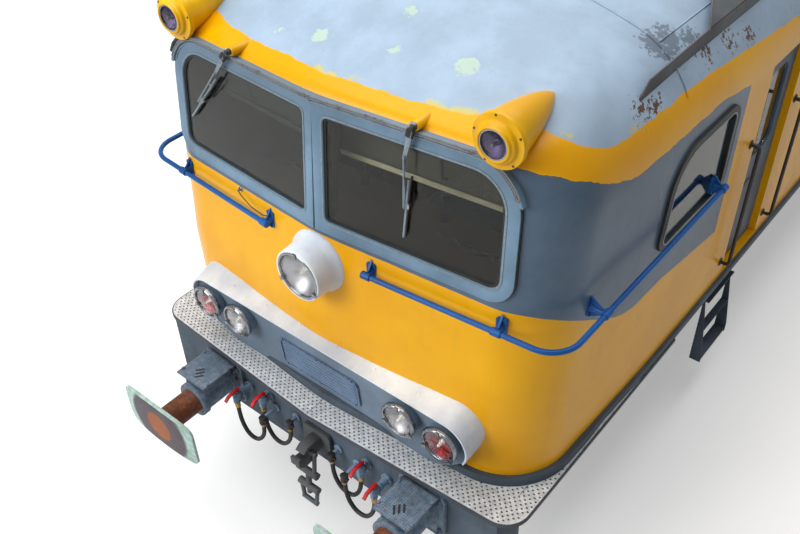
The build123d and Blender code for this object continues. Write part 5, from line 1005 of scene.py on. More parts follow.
def make_roof():
    """Machine room roof: one curved sheet from cab to cab."""
    roof = Work()
    outer, inner = roof_profile(), roof_profile(0.04)
    ring = outer + list(reversed(inner))
    roof.rows([[(x, y, z) for y, z in ring] for x in (-CAB_REAR_X, -2.7, 0, 2.7, CAB_REAR_X)])
    return roof.build("roof_sheet", "body", replaces="roof_centre", smooth=30)


make_roof()


# Windscreen trim and wipers

def on_front(u, v, level):
    """A point of the raked plane of the left half of the front: across, up from the glass's foot, out."""
    foot, along, up = screen_axes()
    return foot + along * u + up * v + along.cross(up) * level


SCREEN_HEIGHT = SCREEN_TOP_Z - SCREEN_BOTTOM_Z
DRIP_DROP = 0.190


def make_screen_trim(end):
    """Rubber and a bright strip round each windscreen, the joint between the frames and the drip strips; the
    bright strip is partly a painted highlight at the glass's edge, and black rubber under each frame's outer
    edge is partly a painted shadow line.
    """
    work = Work()
    glass = screen_corners()
    frame_corners = [
        (0.004, -FRAME_WIDTH, 0.010),
        (SCREEN_OUTER_Y + FRAME_WIDTH, -FRAME_WIDTH, SCREEN_CORNERS[1] + FRAME_WIDTH),
        (SCREEN_OUTER_Y + FRAME_WIDTH - 0.015, SCREEN_HEIGHT + FRAME_WIDTH, SCREEN_CORNERS[2] + FRAME_WIDTH),
        (0.004, SCREEN_HEIGHT + FRAME_WIDTH, 0.010),
    ]
    # the second ring, bright metal at the frame's inner edge, is partly a painted highlight
    # ring: grown outside and inside of the glass's edge, from and to level, finish
    for outside, inside, low, high, finish in ((0.002, -0.014, -0.004, 0.005, 0),
                                               (0.014, 0.005, 0.010, 0.0165, 1)):
        outer = rounded_corners(grown(glass, outside), 8)
        inner = rounded_corners(grown(glass, inside), 8)
        work.ring(outer, inner, on_front, low, high, finish)
    # black rubber under the frame's outer edge: partly a real seal, partly a painted shadow line between
    # frame and body
    outer = rounded_corners(grown(frame_corners, 0.006), 8)
    inner = rounded_corners(grown(frame_corners, -0.004), 8)
    work.ring(outer, inner, on_front, -0.03, 0.006, 0)
    # drip strip: distance out from the frame's edge, level, radius, finish
    for out, level, radius, finish in ((0.006, 0.024, 0.006, 2), (0.019, 0.026, 0.005, 2),
                                       (-0.010, 0.017, 0.004, 1)):
        edge = rounded_corners(grown(frame_corners, out), 12)
        path = [(u, v) for u, v in edge if v > SCREEN_HEIGHT + FRAME_WIDTH - DRIP_DROP and u > 0.012]
        path.append((0.008, SCREEN_HEIGHT + FRAME_WIDTH + out))
        work.tube([on_front(u, v, level) for u, v in path], radius, 8, finish)
    work.both_sides()
    post = Work()
    post.slab(upright(0.005, 2.68, 3.45), (0, 0, 0), (0, 1, 0), (0, 0, 1), 0.0, 0.001)
    post.points = [Vector((raked_x(p.z) + (0.004 if p.x > 0.0005 else -0.02), p.y, p.z)) for p in post.points]
    work.add(post.points, post.faces, 0)
    tip = [on_front(SCREEN_OUTER_Y + FRAME_WIDTH - 0.21 + 0.21 * math.sin(a),
                    SCREEN_HEIGHT - 0.11 + 0.20 * math.cos(a), 0.022)
           for a in (math.radians(18 * i) for i in range(1, 5))]
    work.tube([Vector((p.x, -p.y, p.z)) for p in tip], 0.011, 8, 0)
    work.flipped(end, end)
    return work.build(numbered("screen_trim", end), ("seal", "arm", "drip"))


# each wiper: side, then where its boss, head, arm's end, clip, blade's top and blade's foot lie (across, up)
WIPERS = (
    (1, (0.645, 0.750), (0.634, 0.728), (0.604, 0.588), (0.609, 0.297), (0.616, 0.456), (0.594, 0.094)),
    (-1, (0.630, 0.758), (0.671, 0.725), (0.766, 0.592), (0.963, 0.350), (0.800, 0.541), (1.090, 0.194)),
)


def make_wipers(end):
    """Both wipers of one end: painted motor boss, flat arm, two thin rods, clip and rubber blade."""
    work = Work()
    for side, boss, head, arm_end, clip, blade_top, blade_foot in WIPERS:
        one = Work()
        here = on_front(*boss, 0)
        out = (on_front(*boss, 1) - here).normalized()
        one.turned([(-0.09, 0.040), (-0.055, 0.036), (-0.028, 0.027), (0.028, 0.0255), (0.035, 0.0235),
                    (0.038, 0.018)],
                   here, out, 24, 0)
        one.turned([(0.036, 0.018), (0.050, 0.018), (0.052, 0.014), (0.066, 0.013), (0.068, 0.009)], here,
                   out, 16, 1)
        run = (on_front(*arm_end, 0) - on_front(*head, 0)).normalized()
        across = out.cross(run)
        wide = [(-0.016, -0.045), (0.016, -0.045), (0.019, 0.0), (0.015, 0.05), (0.011, 0.165),
                (-0.011, 0.165),
                (-0.015, 0.05), (-0.019, 0.0)]
        one.slab(wide, on_front(*head, 0.050), across, run, 0.0, 0.012, 2)
        one.slab(upright(0.020, -0.012, 0.034), on_front(*head, 0.058),
                 across, run, 0.0, 0.014, 1)
        for edge in (-0.017, 0.017):
            start = on_front(*head, 0.071) + across * edge - run * 0.015
            one.tube([start, start + run * 0.055], 0.0025, 6, 3)
        one.tube([on_front(*arm_end, 0.056), on_front(*clip, 0.050)], 0.0055, 8, 2)
        beside = across * (0.024 if side > 0 else -0.024)
        one.tube([on_front(*arm_end, 0.054) + run * 0.10 + beside, on_front(*clip, 0.048) + beside * 0.5],
                 0.0040, 8, 2)
        one.tube([on_front(*arm_end, 0.055) + run * 0.10 - beside * 0.1,
                  on_front(*arm_end, 0.054) + run * 0.10 + beside],
                 0.0040, 8, 2)
        blade_run = (on_front(*blade_foot, 0) - on_front(*blade_top, 0)).normalized()
        blade_across = out.cross(blade_run)
        length = (on_front(*blade_foot, 0) - on_front(*blade_top, 0)).length
        one.slab(upright(0.0035, 0.0, length), on_front(*blade_top, 0.004),
                 blade_across, blade_run, 0.0, 0.020, 1)
        one.slab(upright(0.006, 0.01, length - 0.01),
                 on_front(*blade_top, 0.024), blade_across, blade_run, 0.0, 0.005, 2)
        one.slab(upright(0.014, -0.018, 0.018), on_front(*clip, 0.024),
                 blade_across, blade_run, 0.0, 0.034, 3)
        one.flipped(1, side)
        work.add(one.points, one.faces)
        work.finish_of[-len(one.faces):] = one.finish_of
    washer = on_front(0.662, -0.122, 0.0)
    washer.y = -washer.y
    out = Vector((1, -NOSE_VEE, NOSE_RAKE)).normalized()
    work.turned([(-0.01, 0.016), (0.012, 0.016), (0.016, 0.011), (0.030, 0.010), (0.034, 0.006)], washer,
                out, 16, 3)
    wire = [on_front(*spot, level) for *spot, level in
            ((0.662, -0.122, 0.030), (0.640, -0.105, 0.050), (0.600, -0.130, 0.052), (0.530, -0.175, 0.040),
             (0.440, -0.200, 0.022), (0.400, -0.190, 0.010), (0.386, -0.175, 0.001))]
    work.tube([Vector((p.x, -p.y, p.z)) for p in wire], 0.0035, 6, 1)
    work.flipped(end, end)
    return work.build(numbered("wiper_set", end), ("yellow", "seal", "arm", "chrome"),
                      replaces="wipers", bevel=0.001)


# Lamps

def dome(radius, rise, start, steps=6):
    """Profile of a domed lens from its rim to its middle: (distance, radius)."""
    sphere = (radius ** 2 + rise ** 2) / (2 * rise)
    turn = math.asin(radius / sphere)
    angles = [turn * (1 - i / steps) for i in range(steps)]
    return [(start + rise - sphere * (1 - math.cos(a)), sphere * math.sin(a))
            for a in angles] + [(start + rise, 0.001)]


def add_lens(work, centre, radius, rise, glass):
    """Domed glass with a thickness, its rim at the centre given."""
    outer = dome(radius, rise, 0.0)
    inner = dome(radius - 0.004, rise, -0.005)
    work.turned([(-0.018, radius), *outer, *reversed(inner), (-0.018, radius - 0.004), (-0.018, radius)],
                centre,
                (1, 0, 0), 40, glass, caps=False)


def add_reflector(work, centre, radius, depth, finish, bulb):
    """Polished bowl, open to the front, with its bulb and holder."""
    bowl = [(-depth * (1 - (r / radius) ** 2), r) for r in (radius * i / 8 for i in range(8, 0, -1))]
    back = [(distance - 0.003, r + 0.002) for distance, r in reversed(bowl)]
    work.turned([*bowl, (-depth, 0.004), (-depth - 0.003, 0.004), *back, bowl[0]], centre, (1, 0, 0), 40,
                finish, caps=False)
    work.turned([(-depth, 0.016), (-depth + 0.020, 0.016), (-depth + 0.024, 0.011), (-depth + 0.050, 0.010),
                 (-depth + 0.058, 0.006), (-depth + 0.060, 0.001)], centre, (1, 0, 0), 16, bulb)


def add_bezel(work, centre, radius, width, finish):
    """Rounded bright ring round a lens, with three clips and small screws."""
    profile = [(-0.022, radius), (-0.002, radius), (0.005, radius - 0.003), (0.009, radius - width * 0.4),
               (0.008, radius - width * 0.8), (0.0, radius - width), (-0.022, radius - width),
               (-0.022, radius)]
    work.turned(profile, centre, (1, 0, 0), 48, finish, caps=False)
    for turn in (90, 210, 330):
        a = math.radians(turn)
        out = Vector((0, math.cos(a), math.sin(a)))
        spot = Vector(centre) + out * (radius - 0.004)
        around = Vector((1, 0, 0)).cross(out)
        work.slab(upright(0.011, -0.024, 0.006), spot + Vector((0.010, 0, 0)),
                  around, out, -0.006, 0.004, finish)
        work.turned([(0.0, 0.006), (0.005, 0.006), (0.006, 0.004)],
                    spot + Vector((0.010, 0, 0)) - out * 0.010,
                    (1, 0, 0), 8, finish)


def make_lower_lamps(end):
    """The four lamps in the hood: outer ones half red, inner ones clear."""
    work = Work()
    for y in LOWER_LAMPS:
        centre = (LOWER_LAMP_X - 0.006, y, LOWER_LAMP_Z)
        radius = LOWER_LAMP_RADIUS
        work.turned([(-0.130, radius - 0.010), (-0.020, radius - 0.010), (-0.018, radius - 0.022),
                     (-0.130, radius - 0.022)],
                    centre, (1, 0, 0), 48, 4, caps=False)
        add_bezel(work, centre, radius, 0.022, 0)
        add_reflector(work, (centre[0] - 0.008, y, LOWER_LAMP_Z), radius - 0.024, 0.050, 2, 3)
        add_lens(work, centre, radius - 0.0225, 0.016, 1)
        if abs(y) > 0.9:
            half = [(r * math.cos(a), r * math.sin(a)) for r, a in
                    ((radius - 0.030, math.radians(180 + 12 * i)) for i in range(16))]
            work.slab(half, (centre[0] - 0.006, y, LOWER_LAMP_Z + 0.002), (0, 1, 0), (0, 0, 1), -0.003,
                      0.003, 5)
    work.flipped(end, end)
    return work.build(numbered("lower_lamps", end), ("chrome", "lens", "mirror", "bulb", "panel", "red lens"),
                      replaces=("lamp_bodies", "lamp_lenses"))


def make_centre_lamp(end):
    """The big centre lamp: white drum that flares onto the nose, bright ring, reflector and glass."""
    work = Work()
    axis_foot = (0, 0, CENTRE_LAMP_Z)
    drum = [(8.600, 0.206), (8.690, 0.203), (8.704, 0.199), (8.716, 0.190), (8.730, 0.181), (8.750, 0.174),
            (8.780, 0.170), (8.850, 0.166), (8.862, 0.165), (8.868, 0.162), (8.868, 0.153), (8.860, 0.149),
            (8.790, 0.148), (8.700, 0.148), (8.600, 0.148)]
    work.turned(drum, axis_foot, (1, 0, 0), 64, 0, caps=False)
    centre = (CENTRE_LAMP_X - 0.006, 0, CENTRE_LAMP_Z)
    add_bezel(work, centre, CENTRE_LAMP_RADIUS - 0.006, 0.024, 1)
    add_reflector(work, (centre[0] - 0.010, 0, CENTRE_LAMP_Z), 0.136, 0.075, 3, 4)
    add_lens(work, centre, 0.1345, 0.016, 2)
    work.flipped(end, end)
    return work.build(numbered("centre_lamp", end), ("hood", "chrome", "lens", "mirror", "bulb"),
                      replaces=("lamp_bodies", "lamp_lenses"))


MARKER_TAIL = 0.455


def make_marker(end, side):
    """High marker lamp: teardrop housing on the roof's edge, screwed ring, stepped collar and glass."""
    work = Work()
    rows = []
    for step in range(19):
        share = step / 18
        radius = 0.127 - 0.100 * share ** 1.60 - 0.022 * share ** 9
        centre = Vector((MARKER_X - 0.045 - MARKER_TAIL * share, MARKER_Y - 0.010 * share,
                         MARKER_Z + 0.030 * share))
        rows.append([centre + Vector((0, math.cos(a), math.sin(a))) * radius
                     for a in (2 * math.pi * i / 40 for i in range(40))])
    work.rows(rows, True, False, 0)
    work.faces.append([18 * 40 + i for i in range(40)])
    work.finish_of.append(0)
    start = (MARKER_X - 0.062, MARKER_Y, MARKER_Z)
    flange = [(0.000, 0.128), (0.000, 0.1395), (0.004, 0.1405), (0.024, 0.1405), (0.029, 0.1380),
              (0.031, 0.120),
              (0.034, 0.109), (0.040, 0.106), (0.050, 0.104), (0.054, 0.100), (0.056, 0.094), (0.060, 0.090),
              (0.068, 0.088), (0.071, 0.082), (0.069, 0.077), (0.062, 0.074), (0.030, 0.074), (0.000, 0.074)]
    work.turned([*flange, flange[0]], start, (1, 0, 0), 64, 0, caps=False)
    for turn in (25, 97, 169, 241, 313):
        a = math.radians(turn)
        spot = (start[0] + 0.029, MARKER_Y + 0.128 * math.cos(a), MARKER_Z + 0.128 * math.sin(a))
        work.turned([(0.0, 0.006), (0.003, 0.006), (0.004, 0.003)], spot, (1, 0, 0), 10, 3)
    work.turned([(0.060, 0.0745), (0.066, 0.0745), (0.066, 0.0690), (0.060, 0.0690), (0.060, 0.0745)], start,
                (1, 0, 0), 48, 4, caps=False)
    add_reflector(work, (MARKER_X - 0.006, MARKER_Y, MARKER_Z), 0.070, 0.040, 2, 5)
    add_lens(work, (MARKER_X - 0.004, MARKER_Y, MARKER_Z), 0.0735, 0.012, 1)
    work.flipped(end, side * end)
    finishes = ("yellow", "dark lens", "dull mirror", "seal", "chrome", "dull mirror")
    return work.build(sided("marker_lamp", end, side), finishes,
                      replaces=("lamp_lenses", numbered("cab_shell", end)))


# Handrails

def rail_bracket(work, spot, inwards, reach):
    """Cast bracket: foot plate on the body, tapered stem, two pointed fins and the collar round the rail."""
    spot, inwards = Vector(spot), Vector(inwards).normalized()
    along = inwards.cross(Vector((0, 0, 1)))
    foot = spot + inwards * reach
    plate = rounded_corners([(-0.030, -0.055, 0.012), (0.030, -0.055, 0.012), (0.030, 0.055, 0.012),
                             (-0.030, 0.055, 0.012)], 4)
    work.slab(plate, foot, along, (0, 0, 1), -0.012, 0.012)
    work.turned([(0.0, 0.022), (reach * 0.4, 0.017), (reach, 0.026)], spot, inwards, 16)
    for up in (-1, 1):
        fin = [(0.0, 0.014 * up), (reach * 0.35, 0.026 * up), (reach, 0.075 * up), (reach, 0.0), (0.0, 0.0)]
        work.slab(fin if up > 0 else list(reversed(fin)), spot, inwards, (0, 0, 1), -0.006, 0.006)
    for up in (-1, 1):
        work.turned([(-0.003, 0.007), (0.004, 0.007), (0.005, 0.004)],
                    foot - inwards * 0.010 + Vector((0, 0, 0.044 * up)), -inwards, 8)
    work.turned([(-0.030, 0.019), (-0.026, 0.023), (0.026, 0.023), (0.030, 0.019)], spot, along, 20)


def make_handrails(end):
    """Both handrails round one nose with their brackets, and the upright grab rails at the cab doors."""
    rail = Work()
    corner_x = RAIL_FRONT_X - NOSE_VEE * RAIL_SIDE_Y
    path = [(RAIL_FRONT_X - NOSE_VEE * RAIL_INNER_Y, RAIL_INNER_Y, 0.0), (corner_x, RAIL_SIDE_Y, RAIL_CORNER),
            (RAIL_END_X, RAIL_SIDE_Y, 0.0)]
    line = [(x, y, RAIL_Z) for x, y in rounded_corners(path, 14)]
    rail.tube(line, 0.016, 14)
    brackets = (
        ((RAIL_FRONT_X - NOSE_VEE * 0.393, 0.393), (-1, -NOSE_VEE), 0.058),
        ((RAIL_FRONT_X - NOSE_VEE * 1.193, 1.193), (-1, -NOSE_VEE), 0.060),
        ((NOSE_X - 0.545, RAIL_SIDE_Y), (0, -1), 0.108),
        ((RAIL_END_X + 0.012, RAIL_SIDE_Y), (0, -1), 0.072),
    )
    for (x, y), (dx, dy), reach in brackets:
        rail_bracket(rail, (x, y, RAIL_Z), (dx, dy, 0), reach)
    rail.both_sides().flipped(end, end)
    rail.build(numbered("nose_rails", end), "rail", replaces="handrails")
    grab = Work()
    for x in (DOOR_REAR_X - 0.075, DOOR_FRONT_X + 0.075):
        y = HALF_WIDTH + 0.062
        line = [(x, HALF_WIDTH - 0.004, 1.575), (x, y - 0.022, 1.575), (x, y - 0.006, 1.582), (x, y, 1.600),
                (x, y, 2.520), (x, y - 0.006, 2.538), (x, y - 0.022, 2.545), (x, HALF_WIDTH - 0.004, 2.545)]
        grab.tube(line, 0.013, 12)
        for z in (1.575, 2.545):
            grab.turned([(0.0, 0.030), (0.006, 0.030), (0.009, 0.024), (0.012, 0.015)], (x, HALF_WIDTH, z),
                        (0, 1, 0), 20)
    grab.both_sides().flipped(end, end)
    grab.build(numbered("door_rails", end), "seal", replaces="handrails")


# Walkway

HOLE_PITCH, HOLE_ROW = 0.038, 0.021
HOLE_HALF = (0.0054, 0.0084)
SHEET = 0.005
PLATE_TOP_Z = WALKWAY_TOP_Z + 0.002
PLINTH_PROUD, PLINTH_END_X = 0.036, 7.60


def walkway_outline(grow=0.0):
    """Plan of the walkway's outer edge, from its left rear end round the front to its right rear end."""
    side, nose = WALKWAY_SIDE_Y + grow, WALKWAY_NOSE_X + grow
    corner_x = nose - WALKWAY_VEE * side
    left = rounded_corners([(WALKWAY_END_X, side, 0.0), (corner_x, side, WALKWAY_CORNER + grow),
                            (nose, 0.0, 0.0)], 10)
    return left + [(x, -y) for x, y in reversed(left[:-1])]


def inside(point, outline):
    """Whether a point lies inside a closed outline."""
    x, y = point
    odd = False
    for (ax, ay), (bx, by) in zip(outline, outline[1:] + outline[:1]):
        if (ay > y) != (by > y) and x < ax + (y - ay) * (bx - ax) / (by - ay):
            odd = not odd
    return odd


def grown_line(outline, grow):
    """Points of an open outline moved sideways to its left."""
    moved = []
    for index, (x, y) in enumerate(outline):
        before, after = outline[max(index - 1, 0)], outline[min(index + 1, len(outline) - 1)]
        run = (Vector(after) - Vector(before)).normalized()
        moved.append((x - run.y * grow, y + run.x * grow))
    return moved


def make_plinth(end):
    """Dark band round the foot of the nose, proud of the skin and dying into the side."""
    work = Work()
    section = [(-0.020, 1.341), (PLINTH_PROUD, 1.341), (PLINTH_PROUD, 1.388), (PLINTH_PROUD - 0.006, 1.398),
               (-0.020, 1.406)]
    outline = [spot for spot in nose_outline(FLOOR_TOP_Z) if spot[0] > PLINTH_END_X]
    lines = {out: grown_line(outline, out) for out, _ in section}
    rows = []
    for index, (x, _) in enumerate(outline):
        share = min(1.0, 0.15 + (x - PLINTH_END_X) / 0.5)
        rows.append([(*Vector(outline[index]).lerp(Vector(lines[out][index]), share), z)
                     for out, z in section])
    work.rows(rows)
    work.flipped(end, end)
    return work.build(numbered("nose_plinth", end), "underframe")


def make_walkway(end):
    """Step plate round the nose: steel with staggered oblong holes, folded edge in painted shade, and a black
    tray beneath that paints shade into the holes.
    """
    outer = walkway_outline(-0.003)
    inner = [spot for spot in grown_line(nose_outline(FLOOR_TOP_Z), -0.030) if spot[0] > WALKWAY_END_X]
    hidden = [(WALKWAY_END_X, inner[-1][1]), *reversed(inner), (WALKWAY_END_X, inner[0][1])]
    loop = outer + hidden
    field = walkway_outline(-0.022)
    body = grown_line(nose_outline(FLOOR_TOP_Z), 0.038)
    loops = [list(reversed(loop))]
    row = 0
    x = WALKWAY_NOSE_X - 0.030
    while x > WALKWAY_END_X + 0.02:
        y = -1.53 + (HOLE_PITCH / 2 if row % 2 else 0.0)
        while y < 1.53:
            spot = (x - WALKWAY_VEE * abs(y), y)
            if inside(spot, field) and not inside(spot, body):
                along, wide = HOLE_HALF
                hole = [(spot[0] + along * c, spot[1] + wide * s)
                        for c, s in ((1, -0.4), (1, 0.4), (0, 1), (-1, 0.4), (-1, -0.4), (0, -1))]
                loops.append(hole)
            y += HOLE_PITCH
        x -= HOLE_ROW
        row += 1
    points, rings = [], []
    for ring in loops:
        rings.append(list(range(len(points), len(points) + len(ring))))
        points += [Vector(p) for p in ring]
    flat, _, made, _, _, owners = delaunay_2d_cdt(points, [], rings, 1, 1e-6)
    faces = [face for face, owner in zip(made, owners) if owner == [0]]
    work = Work()
    work.add([(p.x, p.y, PLATE_TOP_Z) for p in flat], faces)
    work.add([(p.x, p.y, PLATE_TOP_Z - SHEET) for p in flat], [list(reversed(face)) for face in faces])
    for ring in loops:
        work.rows([[(px, py, z) for px, py in ring] for z in (PLATE_TOP_Z - SHEET, PLATE_TOP_Z)], True, False)
    # folded edge, in the dark edge finish: painted shade for the steel edge in shadow under the sheet
    edge = [(0.0, -0.026), (0.0, -0.003), (-0.002, 0.0), (-0.006, 0.0006), (-0.009, 0.0004), (-0.009, -0.003),
            (-0.006, -0.005), (-0.006, -0.026)]
    rim = [[(px, py, PLATE_TOP_Z + lift) for px, py in walkway_outline(out)] for out, lift in edge + edge[:1]]
    work.rows(rim, False, False, 1)
    # black sheet under the holes, in the seal finish: painted shade, so that the holes show dark
    shade_tray = walkway_outline(-0.012)
    work.slab(shade_tray + hidden, (0, 0, 0), (1, 0, 0), (0, 1, 0), PLATE_TOP_Z - 0.028, PLATE_TOP_Z - 0.022, 2)
    for (ax, ay), (bx, by) in (((8.70, -0.004), (8.938, -0.004)), ((8.40, 1.392), (8.62, 1.392)),
                               ((8.40, -1.392), (8.62, -1.392))):
        work.brick((ax, ay - 0.0015, PLATE_TOP_Z - 0.002), (bx, by + 0.0015, PLATE_TOP_Z + 0.0004), 2)
    work.flipped(end, end)
    piece = work.build(numbered("walkway_plate", end), ("walkway", "edge", "seal"),
                       replaces="walkways")
    return piece


for end in (1, -1):
    make_screen_trim(end)
    make_wipers(end)
    make_lower_lamps(end)
    make_centre_lamp(end)
    for side in (1, -1):
        make_marker(end, side)
    make_handrails(end)
    make_plinth(end)
    make_walkway(end)


# Hood and lamp panel

HOOD_FRONT_X = 8.815
HOOD_SHEET = 0.012
PANEL_FOOT_X, PANEL_RAKE = 8.740, 0.090
HOOD_FRONT = [(y, 1.838) for y in (0.0, 0.2, 0.4, 0.6, 0.8)]
HOOD_REAR = [(0.0, 1.905), (0.2, 1.904), (0.4, 1.901), (0.6, 1.908), (0.8, 1.924)]
HOOD_FRONT_END = ((0.985, 1.685), 0.153)
HOOD_REAR_END = ((0.975, 1.748), 0.182)


def hood_line(half, shoulder, grow=0.0):
    """One edge of the hood from its left end over the top to its right end, as (y, z)."""
    centre, radius = shoulder
    arc = polygon_arc(centre, math.radians(98), math.radians(-30), radius + grow, 14)
    right = [(y, z + grow) for y, z in half] + arc
    return [(-y, z) for y, z in reversed(right[1:])] + right


def make_hood(end):
    """White hood of bent sheet over the lower lamps, rolled at its front edge, round the outer lamps."""
    inner = hood_line(HOOD_FRONT, HOOD_FRONT_END)
    middle = hood_line(HOOD_FRONT, HOOD_FRONT_END, HOOD_SHEET * 0.5)
    outer = hood_line(HOOD_FRONT, HOOD_FRONT_END, HOOD_SHEET)
    rear = hood_line(HOOD_REAR, HOOD_REAR_END)
    rows = []
    for inside_point, mid, outside_point, back in zip(inner, middle, outer, rear):
        back_x = NOSE_X - NOSE_VEE * abs(back[0]) - 0.05
        rows.append([
            (back_x, back[0], back[1]), (HOOD_FRONT_X - 0.007, *outside_point),
            (HOOD_FRONT_X - 0.002, *outside_point),
            (HOOD_FRONT_X, *mid), (HOOD_FRONT_X - 0.002, *inside_point),
            (HOOD_FRONT_X - 0.070, *inside_point),
            (back_x, back[0], back[1] - 0.03),
        ])
    work = Work()
    work.rows(rows)
    for side in (1, -1):
        for y in (0.15, 0.45, 0.75):
            work.turned([(-0.002, 0.0065), (0.0035, 0.0065), (0.0050, 0.004)],
                        (HOOD_FRONT_X - 0.055, side * y, 1.838 + HOOD_SHEET + 0.052), (0.55, 0, 1), 10)
    work.flipped(end, end)
    return work.build(numbered("lamp_hood", end), "hood", replaces="lamp_shrouds",
                      smooth=40)


GRILLE_HALF = (0.335, 0.122)
GRILLE_MIDDLE = (-0.02, 1.580)


def make_lamp_panel(end):
    """Leaning panel behind the lower lamps with its raised grille: rim, bars and screws."""
    work = Work()
    right = hood_line(HOOD_FRONT, HOOD_FRONT_END)
    foot = [(1.075, 1.520), (0.985, 1.425), (0.870, 1.350), (0.800, 1.330)]
    outline = right + foot + [(-y, z) for y, z in reversed(foot)]
    origin = (PANEL_FOOT_X, 0, WALKWAY_TOP_Z)
    lean = (PANEL_RAKE, 0, 1)
    work.slab([(y, z - WALKWAY_TOP_Z) for y, z in outline], origin, (0, 1, 0), lean, -0.018, 0.0)
    along, up = Vector((0, 1, 0)), Vector(lean).normalized()
    out = along.cross(up)
    middle = Vector(origin) + along * GRILLE_MIDDLE[0] + up * (GRILLE_MIDDLE[1] - WALKWAY_TOP_Z)

    def on_panel(u, v, level):
        return middle + along * u + up * v + out * level

    def frame_line(grow, corner):
        wide, high = GRILLE_HALF[0] + grow, GRILLE_HALF[1] + grow
        return rounded_corners([(-wide, -high, corner), (wide, -high, corner), (wide, high, corner),
                                (-wide, high, corner)], 6)

    for grow, low, high, finish in ((0.0, -0.002, 0.010, 1), (-0.003, 0.008, 0.013, 1)):
        work.ring(frame_line(grow, 0.045), frame_line(-0.016 - grow * 0.5, 0.030), on_panel, low, high,
                  finish)
    work.slab(frame_line(-0.014, 0.030), middle, along, up, -0.001, 0.002, 2)
    bars = 7
    for index in range(bars):
        level = (index - (bars - 1) / 2) * (2 * GRILLE_HALF[1] - 0.036) / bars
        section = [(-0.0090, 0.001), (-0.0080, 0.011), (-0.004, 0.015), (0.004, 0.014), (0.0080, 0.005),
                   (0.0090, 0.001)]
        rows = [[on_panel(u, level + v, w * (0.25 if abs(u) > 0.31 else 1.0)) for v, w in section]
                for u in (-0.320, -0.306, -0.1, 0.1, 0.306, 0.320)]
        work.rows(rows, True, True, 1)
    for u in (-GRILLE_HALF[0] + 0.008, 0.0, GRILLE_HALF[0] - 0.008):
        for v in (-GRILLE_HALF[1] + 0.008, GRILLE_HALF[1] - 0.008):
            work.turned([(0.012, 0.005), (0.015, 0.005), (0.016, 0.003)], on_panel(u * 0.90, v, 0.0), out,
                        8, 2)
    work.flipped(end, end)
    return work.build(numbered("lamp_panel", end), ("panel", "grille", "seal"),
                      replaces="lamp_panels")


# Side window trim

def make_side_trim(end):
    """Black rubber round both side windows of one cab, with a thin bright strip inside it."""
    work = Work()

    def on_side(u, v, level):
        return Vector((u, side_y(u, HALF_WIDTH) + level, v))

    for outside, inside_edge, low, high, finish in ((0.036, -0.012, -0.010, 0.017, 0),
                                                    (-0.006, -0.014, 0.012, 0.019, 1)):
        outer = rounded_corners(grown(SIDE_WINDOW, outside), 10)
        inner = rounded_corners(grown(SIDE_WINDOW, inside_edge), 10)
        work.ring(outer, inner, on_side, low, high, finish)
    work.both_sides().flipped(end, end)
    return work.build(numbered("side_window_rubber", end), ("seal", "arm"))


# Cab inside

def make_cab_inside(end):
    """What shows through the windscreens: sun visor rails and blinds, those on the right in black as painted
    shade, centre post, desk edge, dials and levers.
    """
    work = Work()
    for side in (1, -1):
        rows = []
        for y in (0.03, 0.55, 1.10):
            x = 8.47 - 0.085 * y
            rows.append([(x, side * y, 3.066), (x + 0.010, side * y, 3.062), (x + 0.012, side * y, 3.084),
                         (x + 0.004, side * y, 3.092), (x - 0.006, side * y, 3.086)])
        # on the right the visor rail and the blind take the black seal finish: painted shade, dark copies of
        # the pale rail and the brown blind
        work.rows(rows, True, True, 0 if side > 0 else 2)
        blind = [[(8.462 - 0.085 * y + lean, side * y, z)
                  for lean, z in ((0.0, 3.088), (-0.03, 3.40), (-0.034, 3.40), (-0.004, 3.088))]
                 for y in (0.03, 0.55, 1.10)]
        work.rows(blind, True, True, 4 if side > 0 else 2)
        work.tube([(8.46, side * 0.69, 3.42), (8.44, side * 0.69, 3.15), (8.36, side * 0.69, 3.10)], 0.008,
                  8, 2)
        for index in range(4):
            spot = (8.10, side * (0.45 + 0.13 * index), 2.46)
            work.turned([(0.0, 0.050), (0.018, 0.050), (0.022, 0.044), (0.018, 0.042)], spot,
                        (-0.5, 0, 0.85), 24, 2)
            work.turned([(0.012, 0.043), (0.016, 0.043)], spot, (-0.5, 0, 0.85), 24, 0)
        work.turned([(0.0, 0.030), (0.05, 0.026), (0.11, 0.010), (0.15, 0.010), (0.155, 0.022),
                     (0.18, 0.022), (0.185, 0.012)],
                    (7.92, side * 0.32, 2.42), (0, 0, 1), 20, 3)
    post = [(8.58, -0.040), (8.60, 0.0), (8.58, 0.040), (8.53, 0.030), (8.53, -0.030)]
    work.rows([[(x - 0.090 * (z - 2.70), y, z) for x, y in post] for z in (2.70, 2.9, 3.1, 3.38)], True,
              True, 1)
    work.flipped(end, end)
    return work.build(numbered("cab_inside", end), ("visor", "desk", "seal", "chrome", "blind"),
                      bevel=0.001)


# Roof seams

def make_roof_seams(end):
    """Welded seams of the cab roof: one across and a short one lengthwise on each side."""
    work = Work()
    line = [(CROWN_START_X + 0.02, y, z + 0.001) for y, z in roof_profile(-0.001, 20) if z > 3.34]
    work.tube(line, 0.005, 6)
    for side in (1, -1):
        spots = [(x, side * 1.220, roof_height(1.220) + 0.001)
                 for x in (CROWN_START_X - 0.60, CROWN_START_X + 0.02)]
        work.tube(spots, 0.004, 6)
    work.flipped(end, end)
    return work.build(numbered("roof_seams", end), "body")


def roof_height(y):
    """Height of the plain roof at a distance from its middle."""
    if abs(y) < EAVE_END_Y:
        return CROWN_CENTRE_Z + math.sqrt(CROWN_RADIUS ** 2 - y ** 2)
    return EAVE_Z + math.sqrt(EAVE_RADIUS ** 2 - (abs(y) - EAVE_CENTRE_Y) ** 2)


# Buffers' tread plates, brake cocks, springs and insulators

